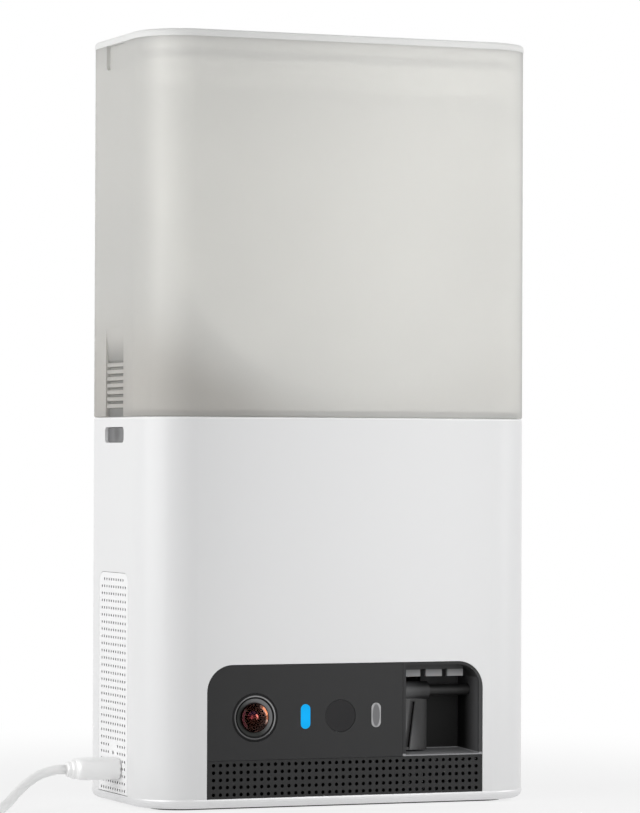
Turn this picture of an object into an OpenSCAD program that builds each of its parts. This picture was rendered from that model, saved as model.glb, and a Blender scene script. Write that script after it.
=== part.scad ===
// Treat tossing pet camera: a lower body with camera, lights, speaker and launcher,
// and a lift-off treat container with a lid on top of it.
// The front faces -Y, +X is to the right, and the part stands on z = 0. Millimetres.

/* [Body] */
// Width of the body, side to side
body_w = 148; // [147:0.5:150]
// Depth of the body, front to back
body_d = 75; // [74.5:0.5:77]
// Height with the lid on
body_h = 272; // [268:1:276]
// Radius of the four upright corners
corner_r = 18; // [17.5:0.1:18.5]
// Height of the seam between lower body and container
seam_z = 137.2; // [136.8:0.1:137.6]
// Wall of the lower shell
shell_wall = 2.4; // [2.2:0.1:2.6]
// Height of the foot plate's upper edge
base_top = 4.1; // [3.9:0.1:4.3]

/* [Front panel] */
// Width of the dark panel and the speaker grille
panel_w = 104.8; // [104:0.2:106]
// Height of the panel's upper edge
panel_top = 50.7; // [50:0.1:51]
// Radius of the panel's upper corners
panel_r = 9.5; // [8.5:0.5:10]
// Height of the joint between grille and panel
grille_top = 17.3; // [17:0.1:17.4]
// Holes in one row of the grille
grille_columns = 40; // [36:1:40]
// Rows of holes in the grille
grille_rows = 5; // [4:1:5]
// Spacing of the grille holes
grille_pitch = 2.56; // [2.4:0.02:2.6]
// Diameter of a grille hole
grille_hole_d = 1.3; // [1.1:0.1:1.4]
// Camera lens, from the centre line
lens_x = -34.6; // [-36:0.2:-33]
// Height of the lens, lights and sensor window
eye_z = 32.2; // [31.5:0.1:33]
// Left edge of the treat chute
chute_left = 21.4; // [21.2:0.1:21.6]
// Right edge of the treat chute
chute_right = 50.9; // [50.7:0.1:51.1]

/* [Left side] */
// Width of the vent panel
vent_w = 31; // [30.6:0.2:31.4]
// Height of the vent panel's upper edge
vent_top = 82; // [81.5:0.5:83]
// Spacing of the vent holes
vent_pitch = 2.55; // [2.5:0.01:2.56]
// Diameter of a vent hole
vent_hole_d = 1.1; // [0.8:0.1:1.1]
// Rows of vent holes
vent_rows = 30; // [26:1:30]
// Holes in a full row of the vent
vent_columns = 11; // [9:2:11]

/* [Container] */
// Wall of the treat container
container_wall = 2.2; // [2:0.1:2.4]
// Thickness of the lid's edge
lid_t = 2.6; // [2.4:0.1:3]
// Depth of the lid's inner skirt
lid_skirt = 16.9; // [14:0.5:17]
// Inner radius of the round-bottomed hopper
trough_r = 69.6; // [69.4:0.1:69.8]
// Radius of the feed wheel's well
well_r = 25; // [24.8:0.1:25]
// Vanes on the feed wheel
rotor_vanes = 6; // [5:1:7]

/* [Release button] */
// Width of a release button
button_w = 19.8; // [19:0.2:20.4]
// Height of a release button
button_h = 5.1; // [4.9:0.1:5.3]
// Height of the buttons' centre
button_z = 130.75; // [130.6:0.05:130.9]

/* [Power lead] */
// Diameter of the power lead
cord_d = 3.4; // [3.2:0.1:3.4]
// Loops in one layer of the coiled lead
coil_loops_per_layer = 3.5; // [2.5:0.5:3.5]
// Radius of the coil's middle turn
coil_mid_r = 20.5; // [19.5:0.5:21]

/* [Hidden] */

$fn = 64;
fit = 0.4; // easy gap between the container and the deck
edge = 0.35; // small chamfer along the seam
cut = 1; // how far a cutting solid runs past a face

// Faces of the body
front_y = -body_d / 2;
side_x = body_w / 2;
shell_inner_r = corner_r - shell_wall;
shell_top = seam_z - 0.2;
pad_t = 0.9;

// Foot screws, set diagonally in from the corner centres
screw_reach = 12.2;
screw_x = side_x - corner_r + screw_reach * cos(45);
screw_y = body_d / 2 - corner_r + screw_reach * sin(45);
boss_top = 22;
screw_r = 1.25;

// Deck that carries the container: pocket, floor and ledge
deck_z = seam_z - 15.7;
deck_t = 2.5;
deck_top = deck_z + deck_t;
ledge_t = 2.2;
collar_r = corner_r - 8;
collar_wall = 2;
collar_depth = 4.2;
collar_x = side_x - corner_r + collar_r;
pocket_r = collar_r + fit;
pocket_wall = 1.5;

// Front panel
fascia_t = 2.2;
panel_gap = 0.15;
lens_r = 8.4;
pill_w = 3.65;
pill_h = 8.7;
status_x = -15.6;
sensor_x = -2.4;
infrared_x = 11.2;
sensor_r = 5.75;

// Launch chute
chute_back = front_y + 18.5;
chute_wall = 1.2;
chute_ceiling = panel_top - 1.1;
chute_floor_front = 17.9;
chute_floor_back = 18.6;
striker_back = -4;
striker_right = 36.2;
mouth_x = [26, 48];
mouth_y = [-30, -19.6];

// Launcher: the paddle's shaft, the drive gear and the motor, all along X
paddle_axis = [-27.5, 40]; // y and z
gear_m = 0.8;
launch_teeth = 16;
drive_teeth = 32;
drive_rim_teeth = 40;
pinion_teeth = 12;
shaft_r = 2;
shaft_play = 0.05;
drive_axis = paddle_axis + centre_gap(launch_teeth, drive_teeth) * [cos(45), sin(45)];
motor_axis = drive_axis + centre_gap(drive_rim_teeth, pinion_teeth) * [1, 0];
launch_gear_x = 14.5;
rim_gear_x = 9.5;
launch_gear_w = 4;

// Feed train under the deck, all upright
feed_teeth = 15;
idler_teeth = 34;
idler_x = -centre_gap(feed_teeth, idler_teeth);
feed_motor_x = idler_x - centre_gap(idler_teeth, pinion_teeth);
feed_gear_z = deck_z - 9.5;
feed_gear_t = 5;
feed_shaft_r = 3;
outlet_x = 15.8;
outlet_r = 7.3;

// Hopper
lid_z = body_h - lid_t;
container_inner_r = corner_r - container_wall;
trough_t = 1.8;
trough_z = seam_z + 79.8;
well_floor_z = seam_z - 9.2;
well_floor_t = 2;
well_wall = 2;

// Release buttons
button_travel = 1.8;

// Side openings and the socket
port_y = -3.9;
port_z = 13.2;
reset_z = 18.35;

// Power lead: plug, route to the floor, coil, and route to the far plug
plug_out = 18.7;
plug_body = 15.7;
cord_r = cord_d / 2;
plug_end = [-side_x - plug_out, port_y, port_z];
lead_heading = 240; // heading of the lead where it meets the coil
tie_t = 0.6;
turn_pitch = cord_d + 0.55;
coil_layers = 4;
coil_z = tie_t + 0.15 + cord_r;
coil_out_r = coil_mid_r + coil_loops_per_layer * turn_pitch / 2;
coil_entry_angle = lead_heading + 90;
coil_start = [-139.5, -53.7];
coil_centre = coil_start - coil_out_r * polar(1, coil_entry_angle);
coil_loops = coil_layers * coil_loops_per_layer - 0.5;
coil_end = coil_centre + (coil_out_r - turn_pitch / 2) * polar(1, coil_entry_angle + 180);
coil_steps = 24;
coil_path = concat(
    [beside(coil_start, -cord_d, coil_z)],
    [for (i = [0:coil_loops * coil_steps]) coil_point(i / coil_steps)],
    [beside(coil_end, -cord_d, coil_height(coil_loops))]);
lead_route = [
    plug_end, plug_end - [cord_d, 0, 0], [-102, -4.8, 11.9], [-108, -8.4, 9.4], [-114, -14.4, 6.4],
    [-119.4, -21.4, 3.6], [-125, -29, 1.9], [-130.7, -38.4, 1.75],
    beside(coil_start, -2 * cord_d, coil_z), beside(coil_start, -cord_d, coil_z)
];
plug_heading = 65;
plug_back = [-169, 2, 4];
tail_route = [
    beside(coil_end, -cord_d, coil_height(coil_loops)),
    beside(coil_end, -2 * cord_d, coil_height(coil_loops)),
    [-178.7, -16.2, 12.7], [-175.8, -10.9, 9], [-173, -5.9, 5.4],
    plug_back - cord_d * [cos(plug_heading), sin(plug_heading), 0], plug_back
];

// ---------------------------------------------------------------- plain shapes

// Rounded rectangle with true arcs, centred
module rounded_plan(w, d, r) {
    square([w - 2 * r, d], center = true);
    square([w, d - 2 * r], center = true);
    for (sx = [-1, 1], sy = [-1, 1])
        translate([sx * (w / 2 - r), sy * (d / 2 - r)]) circle(r);
}

// Slot with round ends, centred, its long side along y
module pill(w, h) {
    square([w, h - w], center = true);
    for (s = [-1, 1]) translate([0, s * (h - w) / 2]) circle(w / 2);
}

// Sweeps a profile round the body's plan. The profile's x is the distance
// outward from the centres of the corner arcs, and its y is the height.
module swept_rim() {
    half_w = side_x - corner_r;
    half_d = body_d / 2 - corner_r;
    for (c = [[1, 1, 0], [-1, 1, 90], [-1, -1, 180], [1, -1, 270]])
        translate([c[0] * half_w, c[1] * half_d, 0]) rotate(c[2])
            rotate_extrude(angle = 90) children();
    for (turn = [0, 180])
        rotate(turn) translate([half_w, 0, 0]) rotate([90, 0, 0])
            linear_extrude(2 * half_d, center = true) children();
    for (turn = [90, 270])
        rotate(turn) translate([half_d, 0, 0]) rotate([90, 0, 0])
            linear_extrude(2 * half_w, center = true) children();
}

// The flat middle that closes a swept rim into a slab
module slab_core(z, t)
    translate([corner_r - side_x, corner_r - body_d / 2, z])
        cube([body_w - 2 * corner_r, body_d - 2 * corner_r, t]);

// Slab of the body's plan, reaching r out from the corner centres
module plan_slab(r, z, t) {
    swept_rim() translate([0, z]) square([r, t]);
    slab_core(z, t);
}

// Puts an x-z outline upright, from y on back by depth
module facing_front(y, depth)
    translate([0, y + depth, 0]) rotate([90, 0, 0]) linear_extrude(depth) children();

// Puts a y-z outline upright, from x on to the right by depth
module facing_side(x, depth)
    translate([x, 0, 0]) rotate([90, 0, 90]) linear_extrude(depth) children();

// Turns a profile about an axis that runs back from the front face
module turned_front(x, z)
    translate([x, front_y, z]) rotate([-90, 0, 0]) rotate_extrude() children();

// Turns a profile about an axis along X; the profile's y runs to the right
module turned_side(x, y, z)
    translate([x, y, z]) rotate([0, 90, 0]) rotate_extrude() children();

module box(x, y, z)
    translate([x[0], y[0], z[0]]) cube([x[1] - x[0], y[1] - y[0], z[1] - z[0]]);

module mirrored_x() {
    children();
    mirror([1, 0, 0]) children();
}

// ---------------------------------------------------------------- gears

pressure = 20;
gear_slack = 0.07; // play on each flank
function centre_gap(a, b) = gear_m * (a + b) / 2;
function pitch_r(teeth) = gear_m * teeth / 2;
function tip_r(teeth) = pitch_r(teeth) + 0.82 * gear_m;
function root_r(teeth) = pitch_r(teeth) - 1.15 * gear_m;
function base_r(teeth) = pitch_r(teeth) * cos(pressure);
function involute_angle(a) = tan(a) * 180 / PI - a;
// Half the tooth's angle at radius r
function tooth_half(teeth, r) =
    90 / teeth - gear_slack / pitch_r(teeth) * 180 / PI + involute_angle(pressure)
    - involute_angle(r > base_r(teeth) ? acos(base_r(teeth) / r) : 0);
function polar(r, a) = r * [cos(a), sin(a)];
function flank_radii(teeth) =
    let (low = max(base_r(teeth), root_r(teeth) + 0.02), high = tip_r(teeth))
    concat([root_r(teeth)], [for (k = [0:4]) low + (high - low) * k / 4]);
function gear_outline(teeth) =
    let (radii = flank_radii(teeth), last = len(radii) - 1)
    [for (t = [0:teeth - 1], k = [0:2 * last + 1])
        let (up = k <= last, r = radii[up ? k : 2 * last + 1 - k])
        polar(r, 360 * t / teeth + (up ? -1 : 1) * tooth_half(teeth, r))];

// Gear outline with a tooth at the angle given, or a gap there
module gear_face(teeth, angle, gap = false)
    rotate(angle + (gap ? 180 / teeth : 0)) polygon(gear_outline(teeth));

// ---------------------------------------------------------------- tubes

function unit(v) = v / norm(v);
function span_dir(p, i) = unit(p[i + 1] - p[i]);
function run_dir(p, i) =
    let (n = len(p) - 1)
    i == 0 ? span_dir(p, 0) : i == n ? span_dir(p, n - 1) : unit(span_dir(p, i) + span_dir(p, i - 1));
// A side vector carried along the route without twist
function carried(p, i = 0, side = [0, 0, 1], out = []) =
    i == len(p) ? out
    : let (d = run_dir(p, i), flat = side - d * (side * d),
           s = norm(flat) > 0.01 ? unit(flat) : unit(cross(d, [1, 0, 0])))
      carried(p, i + 1, s, concat(out, [s]));
// One closed tube along the points p
module tube(p, r, sides) {
    s = carried(p);
    rings = [for (i = [0:len(p) - 1])
        let (u = s[i], v = cross(run_dir(p, i), u))
        for (k = [0:sides - 1]) p[i] + r * (cos(360 * k / sides) * u + sin(360 * k / sides) * v)];
    last = (len(p) - 1) * sides;
    polyhedron(rings, concat(
        [[for (k = [0:sides - 1]) k]],
        [for (i = [0:len(p) - 2], k = [0:sides - 1])
            let (a = i * sides + k, b = i * sides + (k + 1) % sides)
            each [[a, a + sides, b], [b, a + sides, b + sides]]],
        [[for (k = [sides - 1:-1:0]) last + k]]));
}

// Helix along +Z from z = 0, with straight ends of the length lead
function helix(r, pitch, turns, steps) =
    [for (i = [0:turns * steps]) [r * cos(360 * i / steps), r * sin(360 * i / steps), pitch * i / steps]];

// Smooth curve through the points, n steps a span, with its first and last span straight
function spline(p, n) =
    let (last = len(p) - 1)
    concat([p[0]], [for (i = [1:last - 2], k = [0:n - 1])
        let (a = p[i - 1], b = p[i], c = p[i + 1], d = p[i + 2], t = k / n)
        0.5 * (2 * b + (c - a) * t + (2 * a - 5 * b + 4 * c - d) * t * t
            + (3 * b - a - 3 * c + d) * t * t * t)], [p[last - 1], p[last]]);

// ---------------------------------------------------------------- the lead's coil

// A point on the line along the lead's heading through the coil's start or end, at height z
function beside(start, along, z) =
    [start[0] + along * cos(lead_heading), start[1] + along * sin(lead_heading), z];
// Turns counted in from the outside and out again, a layer at a time
function fold(t) =
    let (n = coil_loops_per_layer, m = t - 2 * n * floor(t / (2 * n)))
    m < n ? m : 2 * n - m;
function ease(t) = t <= 0 ? 0 : t >= 1 ? 1 : t * t * (3 - 2 * t);
// The lead climbs a layer in the half turn round each reversal
function coil_height(t) =
    let (ones = [for (k = [1:coil_layers - 1]) 1],
         steps = [for (k = [1:coil_layers - 1]) ease((t - k * coil_loops_per_layer) * 2 + 0.5)])
    coil_z + turn_pitch * (steps * ones);
function coil_point(t) =
    let (r = coil_out_r - turn_pitch * fold(t), a = coil_entry_angle - 360 * t)
    [coil_centre[0] + r * cos(a), coil_centre[1] + r * sin(a), coil_height(t)];
function coil_least_gap() =
    let (n = len(coil_path) - 1)
    min([for (i = [0:n - 13], j = [i + 13:n]) norm(coil_path[i] - coil_path[j])]) - cord_d;
function route_length(p) =
    [for (i = [1:len(p) - 1]) norm(p[i] - p[i - 1])] * [for (i = [1:len(p) - 1]) 1];

// ---------------------------------------------------------------- lower body

module panel_outline(grow) {
    half = panel_w / 2 + grow;
    top = panel_top + grow;
    r = panel_r + grow;
    translate([-half, base_top]) square([2 * half, top - r - base_top]);
    translate([r - half, base_top]) square([2 * (half - r), top - base_top]);
    for (s = [-1, 1]) translate([s * (half - r), top - r]) circle(r);
}

module vent_outline(grow) {
    half = vent_w / 2 + grow;
    r = 4 + grow;
    translate([-half, base_top - cut]) square([2 * half, vent_top + grow - r - base_top + cut]);
    translate([r - half, base_top - cut]) square([2 * (half - r), vent_top + grow - base_top + cut]);
    for (s = [-1, 1]) translate([s * (half - r), vent_top + grow - r]) circle(r);
}

module button_outline(grow)
    translate([0, button_z]) rounded_plan(button_w + 2 * grow, button_h + 2 * grow, 1.3 + grow);

module lower_shell() color("white") difference() {
    union() {
        swept_rim() polygon([
            [shell_inner_r, base_top], [corner_r, base_top], [corner_r, shell_top - edge],
            [corner_r - edge, shell_top], [shell_inner_r, shell_top]]);
        for (sx = [-1, 1], sy = [-1, 1])
            translate([sx * screw_x, sy * screw_y, base_top]) cylinder(r = 4, h = boss_top - base_top);
    }
    for (sx = [-1, 1], sy = [-1, 1])
        translate([sx * screw_x, sy * screw_y, base_top - cut]) cylinder(r = screw_r, h = 14 + cut);
    facing_front(front_y - cut, shell_wall + 2 * cut) {
        panel_outline(0);
        translate([-panel_w / 2, base_top - cut]) square([panel_w, 2 * cut]);
    }
    facing_side(-side_x - cut, shell_wall + 2 * cut) vent_outline(0.15);
    mirrored_x() facing_side(side_x - shell_wall - cut, shell_wall + 2 * cut) button_outline(0.2);
}

module base_plate() color("silver") difference() {
    union() {
        swept_rim() polygon([
            [0, pad_t], [16, pad_t], [17, 1.3], [17.7, 2], [18.1, 2.9], [18.2, 3.6],
            [18.15, base_top], [0, base_top]]);
        slab_core(pad_t, base_top - pad_t);
    }
    for (sx = [-1, 1], sy = [-1, 1]) translate([sx * screw_x, sy * screw_y, 0]) {
        cylinder(r = screw_r + 0.15, h = base_top + cut);
        cylinder(r = 2.7, h = 2.4);
    }
}

module base_pad() color("dimgray") plan_slab(10.5, 0, pad_t);

module ballast_plate() color("gray") difference() {
    box([-44, 44], [-4, 30], [base_top, base_top + 5]);
    for (s = [-1, 1]) translate([s * 36, 22, base_top]) cylinder(r = 2.6, h = 6);
}

module base_screws() color("darkgray")
    for (sx = [-1, 1], sy = [-1, 1]) translate([sx * screw_x, sy * screw_y, 1.1]) difference() {
        union() {
            cylinder(r = 2.5, h = 1.3);
            cylinder(r = screw_r, h = 15);
        }
        for (turn = [0, 90]) rotate(turn) translate([-1.3, -0.25, -cut]) cube([2.6, 0.5, cut + 0.7]);
    }

module top_deck() color("lightgray") difference() {
    union() {
        swept_rim() polygon([
            [0, deck_z], [pocket_r + pocket_wall, deck_z], [pocket_r + pocket_wall, seam_z - ledge_t],
            [shell_inner_r, seam_z - ledge_t], [shell_inner_r, seam_z], [pocket_r, seam_z],
            [pocket_r, deck_top], [0, deck_top]]);
        slab_core(deck_z, deck_t);
        for (s = [-1, 1]) box([s * 53 - 1, s * 53 + 1], [-4, 4], [deck_top - cut, button_z + 2.6]);
    }
    translate([0, 0, deck_z - cut]) cylinder(r = feed_shaft_r + shaft_play, h = deck_t + 2 * cut);
    translate([outlet_x, 0, deck_z - cut]) cylinder(r = outlet_r + 0.6, h = deck_t + 2 * cut);
    translate([feed_motor_x, 0, deck_z - cut]) cylinder(r = 3.5, h = deck_t + 2 * cut);
    mirrored_x() box([collar_x - 1, collar_x + 4], [-6.5, 6.5], [deck_top + 1, seam_z - ledge_t - 0.3]);
}

// ---------------------------------------------------------------- front panel

module panel_part(x0, x1, z0, z1) intersection() {
    panel_outline(-panel_gap);
    translate([x0, z0]) square([x1 - x0, z1 - z0]);
}

module front_fascia() color("#3a3c3f") difference() {
    facing_front(front_y, fascia_t) panel_part(-60, chute_left, grille_top + 0.1, 60);
    turned_front(lens_x, eye_z) translate([0, -cut]) square([lens_r + 0.1, fascia_t + 2 * cut]);
    turned_front(sensor_x, eye_z) translate([0, -cut]) square([sensor_r, fascia_t + 2 * cut]);
    facing_front(front_y - cut, fascia_t + 2 * cut)
        for (x = [status_x, infrared_x]) translate([x, eye_z]) pill(pill_w, pill_h);
}

module speaker_grille() color("#3a3c3f") facing_front(front_y, 1.8) difference() {
    panel_part(-60, 60, base_top, grille_top);
    for (c = [0:grille_columns - 1], r = [0:grille_rows - 1])
        translate([(c - (grille_columns - 1) / 2) * grille_pitch,
                   (base_top + grille_top) / 2 + (r - (grille_rows - 1) / 2) * grille_pitch])
            circle(d = grille_hole_d, $fn = 24);
}

module speaker_driver() color("black") difference() {
    union() {
        facing_front(front_y + 3, 2) translate([-14, 10.7]) square([70, 11.6], center = true);
        facing_front(front_y + 5, 4) translate([-14, 10.7]) rotate(90) pill(9, 58);
        facing_front(front_y + 9, 5) translate([-14, 10.7]) square([26, 9], center = true);
    }
    facing_front(front_y + 2, 2.2) translate([-14, 10.7]) rotate(90) pill(8.4, 62);
}

module camera_bezel() color("gray") turned_front(lens_x, eye_z) polygon([
    [5.3, 1], [7.05, 0.45], [7.2, -0.1], [7.6, -0.2], [7.75, 0], [lens_r, 0], [lens_r, 3.6], [5.3, 3.6]]);

module camera_lens() color("#2a0d0d") turned_front(lens_x, eye_z) intersection() {
    translate([0, 4.85]) circle(6.45);
    translate([0, -2]) square([5.1, 5.6]);
}

module camera_barrel() color("#1c1c1e") turned_front(lens_x, eye_z) polygon([
    [0, 3.7], [7.2, 3.7], [7.2, 7], [6, 7.6], [6, 14], [0, 14]]);

module camera_board() color("darkgreen") translate([lens_x, 0, eye_z]) {
    box([-13, 13], [front_y + 14, front_y + 15.6], [-12, 12]);
    box([-5, 5], [front_y + 15.6, front_y + 18], [-9, -4]);
}

module light_pipe(x) facing_front(front_y, 6) translate([x, eye_z]) pill(pill_w - 0.1, pill_h - 0.1);
module status_light() color("deepskyblue") light_pipe(status_x);
module infrared_light() color("darkgray") light_pipe(infrared_x);
module sensor_window() color("#2c2e30")
    turned_front(sensor_x, eye_z) polygon([[0, 0.1], [sensor_r - 0.1, 0.1], [sensor_r - 0.1, 2.6], [0, 2.6]]);

// ---------------------------------------------------------------- launch chute

module chute_outline() intersection() {
    panel_outline(-1.1);
    translate([chute_left + chute_wall, 10]) square([chute_right - chute_left - chute_wall, 60]);
}

module chute_frame() color("#303236") difference() {
    union() {
        facing_front(front_y, 3) panel_part(chute_left + 0.1, 60, grille_top + 0.1, 60);
        facing_front(front_y + 2, 18.5 - 2 + chute_wall) intersection() {
            panel_outline(-panel_gap);
            translate([chute_left + 0.1, 15.8]) square([chute_right + chute_wall - chute_left - 0.1, 60]);
        }
        box([chute_left + 0.1, striker_right + chute_wall],
            [chute_back, striker_back + chute_wall], [15.8, 46]);
        // lug for the drive gear's shaft
        box([19.2, chute_left + 0.3], [drive_axis[0] - 4.5, drive_axis[0] + 4.5], [40, drive_axis[1] + 4.5]);
    }
    // bay with a floor that falls a little to the front
    intersection() {
        facing_front(front_y - cut, 18.5 + cut) chute_outline();
        facing_side(chute_left, 40) polygon([
            [front_y - cut, chute_floor_front - 0.1], [chute_back, chute_floor_back],
            [chute_back, 60], [front_y - cut, 60]]);
    }
    box([chute_left + chute_wall, striker_right], [chute_back - cut, striker_back], [chute_floor_back, 44.8]);
    box(mouth_x, mouth_y, [chute_ceiling - cut, panel_top + cut]);
    for (bore = [paddle_axis, drive_axis])
        translate([15, bore[0], bore[1]]) rotate([0, 90, 0]) cylinder(r = shaft_r + shaft_play, h = 40);
}

// Soft comb that hangs across the chute under the ceiling
comb_pitch = 8.4;
comb_slit = 2.1;
module comb_flap() color("lightgray") difference() {
    facing_front(-32.4, 1.2) intersection() {
        chute_outline();
        translate([chute_left, 45.2]) square([chute_right - 4 - chute_left, 20]);
    }
    for (k = [0:1]) box([30.3 + k * comb_pitch, 30.3 + comb_slit + k * comb_pitch], [-33, -30], [44, 47.8]);
}

// Duct from the hopper's outlet to the chute
shaft_low_z = panel_top - panel_gap;
module duct(grow) hull() {
    translate([(mouth_x[0] + mouth_x[1]) / 2, (mouth_y[0] + mouth_y[1]) / 2, shaft_low_z])
        linear_extrude(0.1) square([mouth_x[1] - mouth_x[0] + 2 * grow, mouth_y[1] - mouth_y[0] + 2 * grow],
            center = true);
    translate([outlet_x, 0, deck_z - 0.1])
        linear_extrude(0.1) square(2 * (outlet_r + 0.6 + grow), center = true);
}
module drop_shaft() color("gainsboro") difference() {
    duct(1.2);
    duct(0);
}

// ---------------------------------------------------------------- launcher

module launch_paddle() color("#4a4c50") {
    hub_x = [23.2, 34.8];
    difference() {
        union() {
            translate([hub_x[0], paddle_axis[0], paddle_axis[1]]) rotate([0, 90, 0])
                cylinder(r = 3.2, h = hub_x[1] - hub_x[0]);
            // blade, bowed towards the front
            intersection() {
                translate([29, paddle_axis[0] + 14, 18.9]) difference() {
                    cylinder(r = 15.4, h = 20);
                    translate([0, 0, -cut]) cylinder(r = 12.8, h = 20 + 2 * cut);
                }
                box(hub_x, [paddle_axis[0] - 4, paddle_axis[0] + 3], [18.9, 38.9]);
            }
        }
        translate([20, paddle_axis[0], paddle_axis[1]]) rotate([0, 90, 0]) cylinder(r = shaft_r, h = 20);
        // leaning groove in the blade
        translate([27.9, paddle_axis[0] - 1.6, 28]) rotate([0, 7.4, 0])
            cube([1.5, 3, 16.4], center = true);
    }
}

module launch_shaft() color("silver") translate([6.8, paddle_axis[0], paddle_axis[1]])
    rotate([0, 90, 0]) cylinder(r = shaft_r, h = 53.2);

module launch_gear() color("ivory") facing_side(launch_gear_x, launch_gear_w)
    translate(paddle_axis) difference() {
        gear_face(launch_teeth, 45);
        circle(shaft_r);
    }

// Two rims on one shaft: a full one that the motor turns and one with teeth on a
// part of its edge, which winds the paddle back and then lets it go
module drive_gear() color("ivory") {
    facing_side(launch_gear_x, launch_gear_w) translate(drive_axis) {
        circle(root_r(drive_teeth));
        intersection() {
            gear_face(drive_teeth, 225, gap = true);
            polygon(concat([[0, 0]], [for (a = [183:12:279]) polar(20, a)]));
        }
    }
    facing_side(rim_gear_x, launch_gear_w) translate(drive_axis) gear_face(drive_rim_teeth, 0);
    facing_side(rim_gear_x + launch_gear_w, launch_gear_x - rim_gear_x - launch_gear_w)
        translate(drive_axis) circle(6);
    facing_side(6.9, 14.2) translate(drive_axis) circle(shaft_r);
}

module launch_pinion() color("#c8a24a") {
    facing_side(rim_gear_x, launch_gear_w) translate(motor_axis) gear_face(pinion_teeth, 180, gap = true);
    facing_side(1, rim_gear_x + launch_gear_w + 0.4 - 1) translate(motor_axis) circle(1);
}

module launch_frame() color("dimgray") difference() {
    union() {
        facing_side(6.6, 1.9) translate([-3, 52]) rounded_plan(56, 42, 4);
        box([6.6, 8.5], [-4, 20], [base_top + 5, 40]);
        box([-14, 8.5], [-4, 20], [base_top + 5, base_top + 7]);
    }
    for (bore = [paddle_axis, drive_axis])
        translate([5, bore[0], bore[1]]) rotate([0, 90, 0]) cylinder(r = shaft_r + shaft_play, h = 5);
    translate([5, motor_axis[0], motor_axis[1]]) rotate([0, 90, 0]) cylinder(r = 3.2, h = 5);
}

module launch_motor() color("silver") difference() {
    union() {
        translate([-24, motor_axis[0], motor_axis[1]]) rotate([0, 90, 0]) cylinder(r = 12, h = 30.6);
        translate([6.6, motor_axis[0], motor_axis[1]]) rotate([0, 90, 0]) cylinder(r = 3.1, h = 1.9);
        translate([-26, motor_axis[0], motor_axis[1]]) rotate([0, 90, 0]) cylinder(r = 4, h = 2);
    }
    translate([0, motor_axis[0], motor_axis[1]]) rotate([0, 90, 0])
        cylinder(r = 1 + shaft_play, h = 20);
}

// Torsion spring on the paddle's shaft, outside the chute's right wall
module launch_spring() color("gray")
    translate([52.9, paddle_axis[0], paddle_axis[1]]) rotate([0, 90, 0])
        tube(helix(3.4, 1.1, 5, 12), 0.4, 6);

// ---------------------------------------------------------------- left side

function vent_row_z(k) = 5.6 + k * vent_pitch;
function vent_col_y(c) = (c - (vent_columns - 1) / 2) * vent_pitch * 2.5 / 2.55;
// A hole is left out at the socket, round the reset hole and at the top corners
function vent_open(c, k) =
    let (y = vent_col_y(c), z = vent_row_z(k))
    !(abs(y - port_y) < 5.6 && abs(z - port_z) < 3.2)
    && !(abs(y) < 2.6 && abs(z - reset_z) < 2.8)
    && !(k == vent_rows - 1 && (c == 0 || c == vent_columns - 1));

module side_vent() color("white") facing_side(-side_x, 2) difference() {
    intersection() {
        vent_outline(0);
        translate([-20, base_top + 0.2]) square([40, 90]);
    }
    for (c = [0:vent_columns - 1], k = [0:vent_rows - 1])
        if (vent_open(c, k)) translate([vent_col_y(c), vent_row_z(k)]) circle(d = vent_hole_d, $fn = 20);
    translate([0, reset_z]) circle(d = 1.4, $fn = 24);
    translate([port_y, port_z]) rotate(90) pill(3.7, 9.5);
}

module usb_socket() color("silver") difference() {
    facing_side(2 - side_x, 8) translate([port_y, port_z]) rotate(90) pill(3.9, 9.7);
    facing_side(1 - side_x, 8.2) translate([port_y, port_z]) rotate(90) pill(3.2, 9);
}

module reset_switch() color("black") difference() {
    box([-69.4, -63.6], [-3, 3], [reset_z - 1.6, reset_z + 3]);
    translate([-70, 0, reset_z]) rotate([0, 90, 0]) cylinder(r = 0.85, h = 3.5);
}
module reset_button() color("gray") translate([-71.3, 0, reset_z]) rotate([0, 90, 0]) {
    cylinder(r = 1.3, h = 1.2);
    cylinder(r = 0.8, h = 3.6);
}

module main_board() color("darkgreen") {
    box([-62, 6], [23, 24.6], [14, 104]);
    for (chip = [[-40, 40, 8], [-14, 52, 6], [-44, 74, 5], [-12, 84, 7]])
        box([chip[0] - chip[2], chip[0] + chip[2]], [21.4, 23], [chip[1] - chip[2], chip[1] + chip[2]]);
    // shielded radio and its aerial
    box([-58, -30], [20.6, 23], [88, 101]);
    // small board under the socket and the reset switch
    box([-72, -54], [-12, 8], [9.6, 11.2]);
    box([-63.6, -62], [-3, 3], [11.2, reset_z + 3]);
}

// ---------------------------------------------------------------- treat feed

cover_x = [feed_motor_x - 11.6, feed_motor_x + 10.4];
module motor_cover() color("#2b2c2e") difference() {
    box(cover_x, [-13, 13], [deck_top, 170]);
    box([cover_x[0] + 1.2, cover_x[1] - 1.2], [-11.8, 11.8], [deck_top - cut, deck_top + 24.5]);
    // the top follows the round underside of the hopper
    translate([0, 20, trough_z]) rotate([90, 0, 0]) cylinder(r = trough_r + trough_t + 1.8, h = 40);
}

module feed_motor() color("silver") difference() {
    translate([feed_motor_x, 0, deck_top]) {
        cylinder(r = 9, h = 22);
        translate([0, 0, 22]) cylinder(r = 3, h = 1.6);
    }
    translate([feed_motor_x, 0, deck_top - cut]) cylinder(r = 1 + shaft_play, h = 16);
}

module feed_pinion() color("#c8a24a") translate([feed_motor_x, 0, 0]) {
    translate([0, 0, feed_gear_z]) linear_extrude(feed_gear_t) gear_face(pinion_teeth, 0, gap = true);
    translate([0, 0, feed_gear_z]) cylinder(r = 1, h = 24);
}

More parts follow.
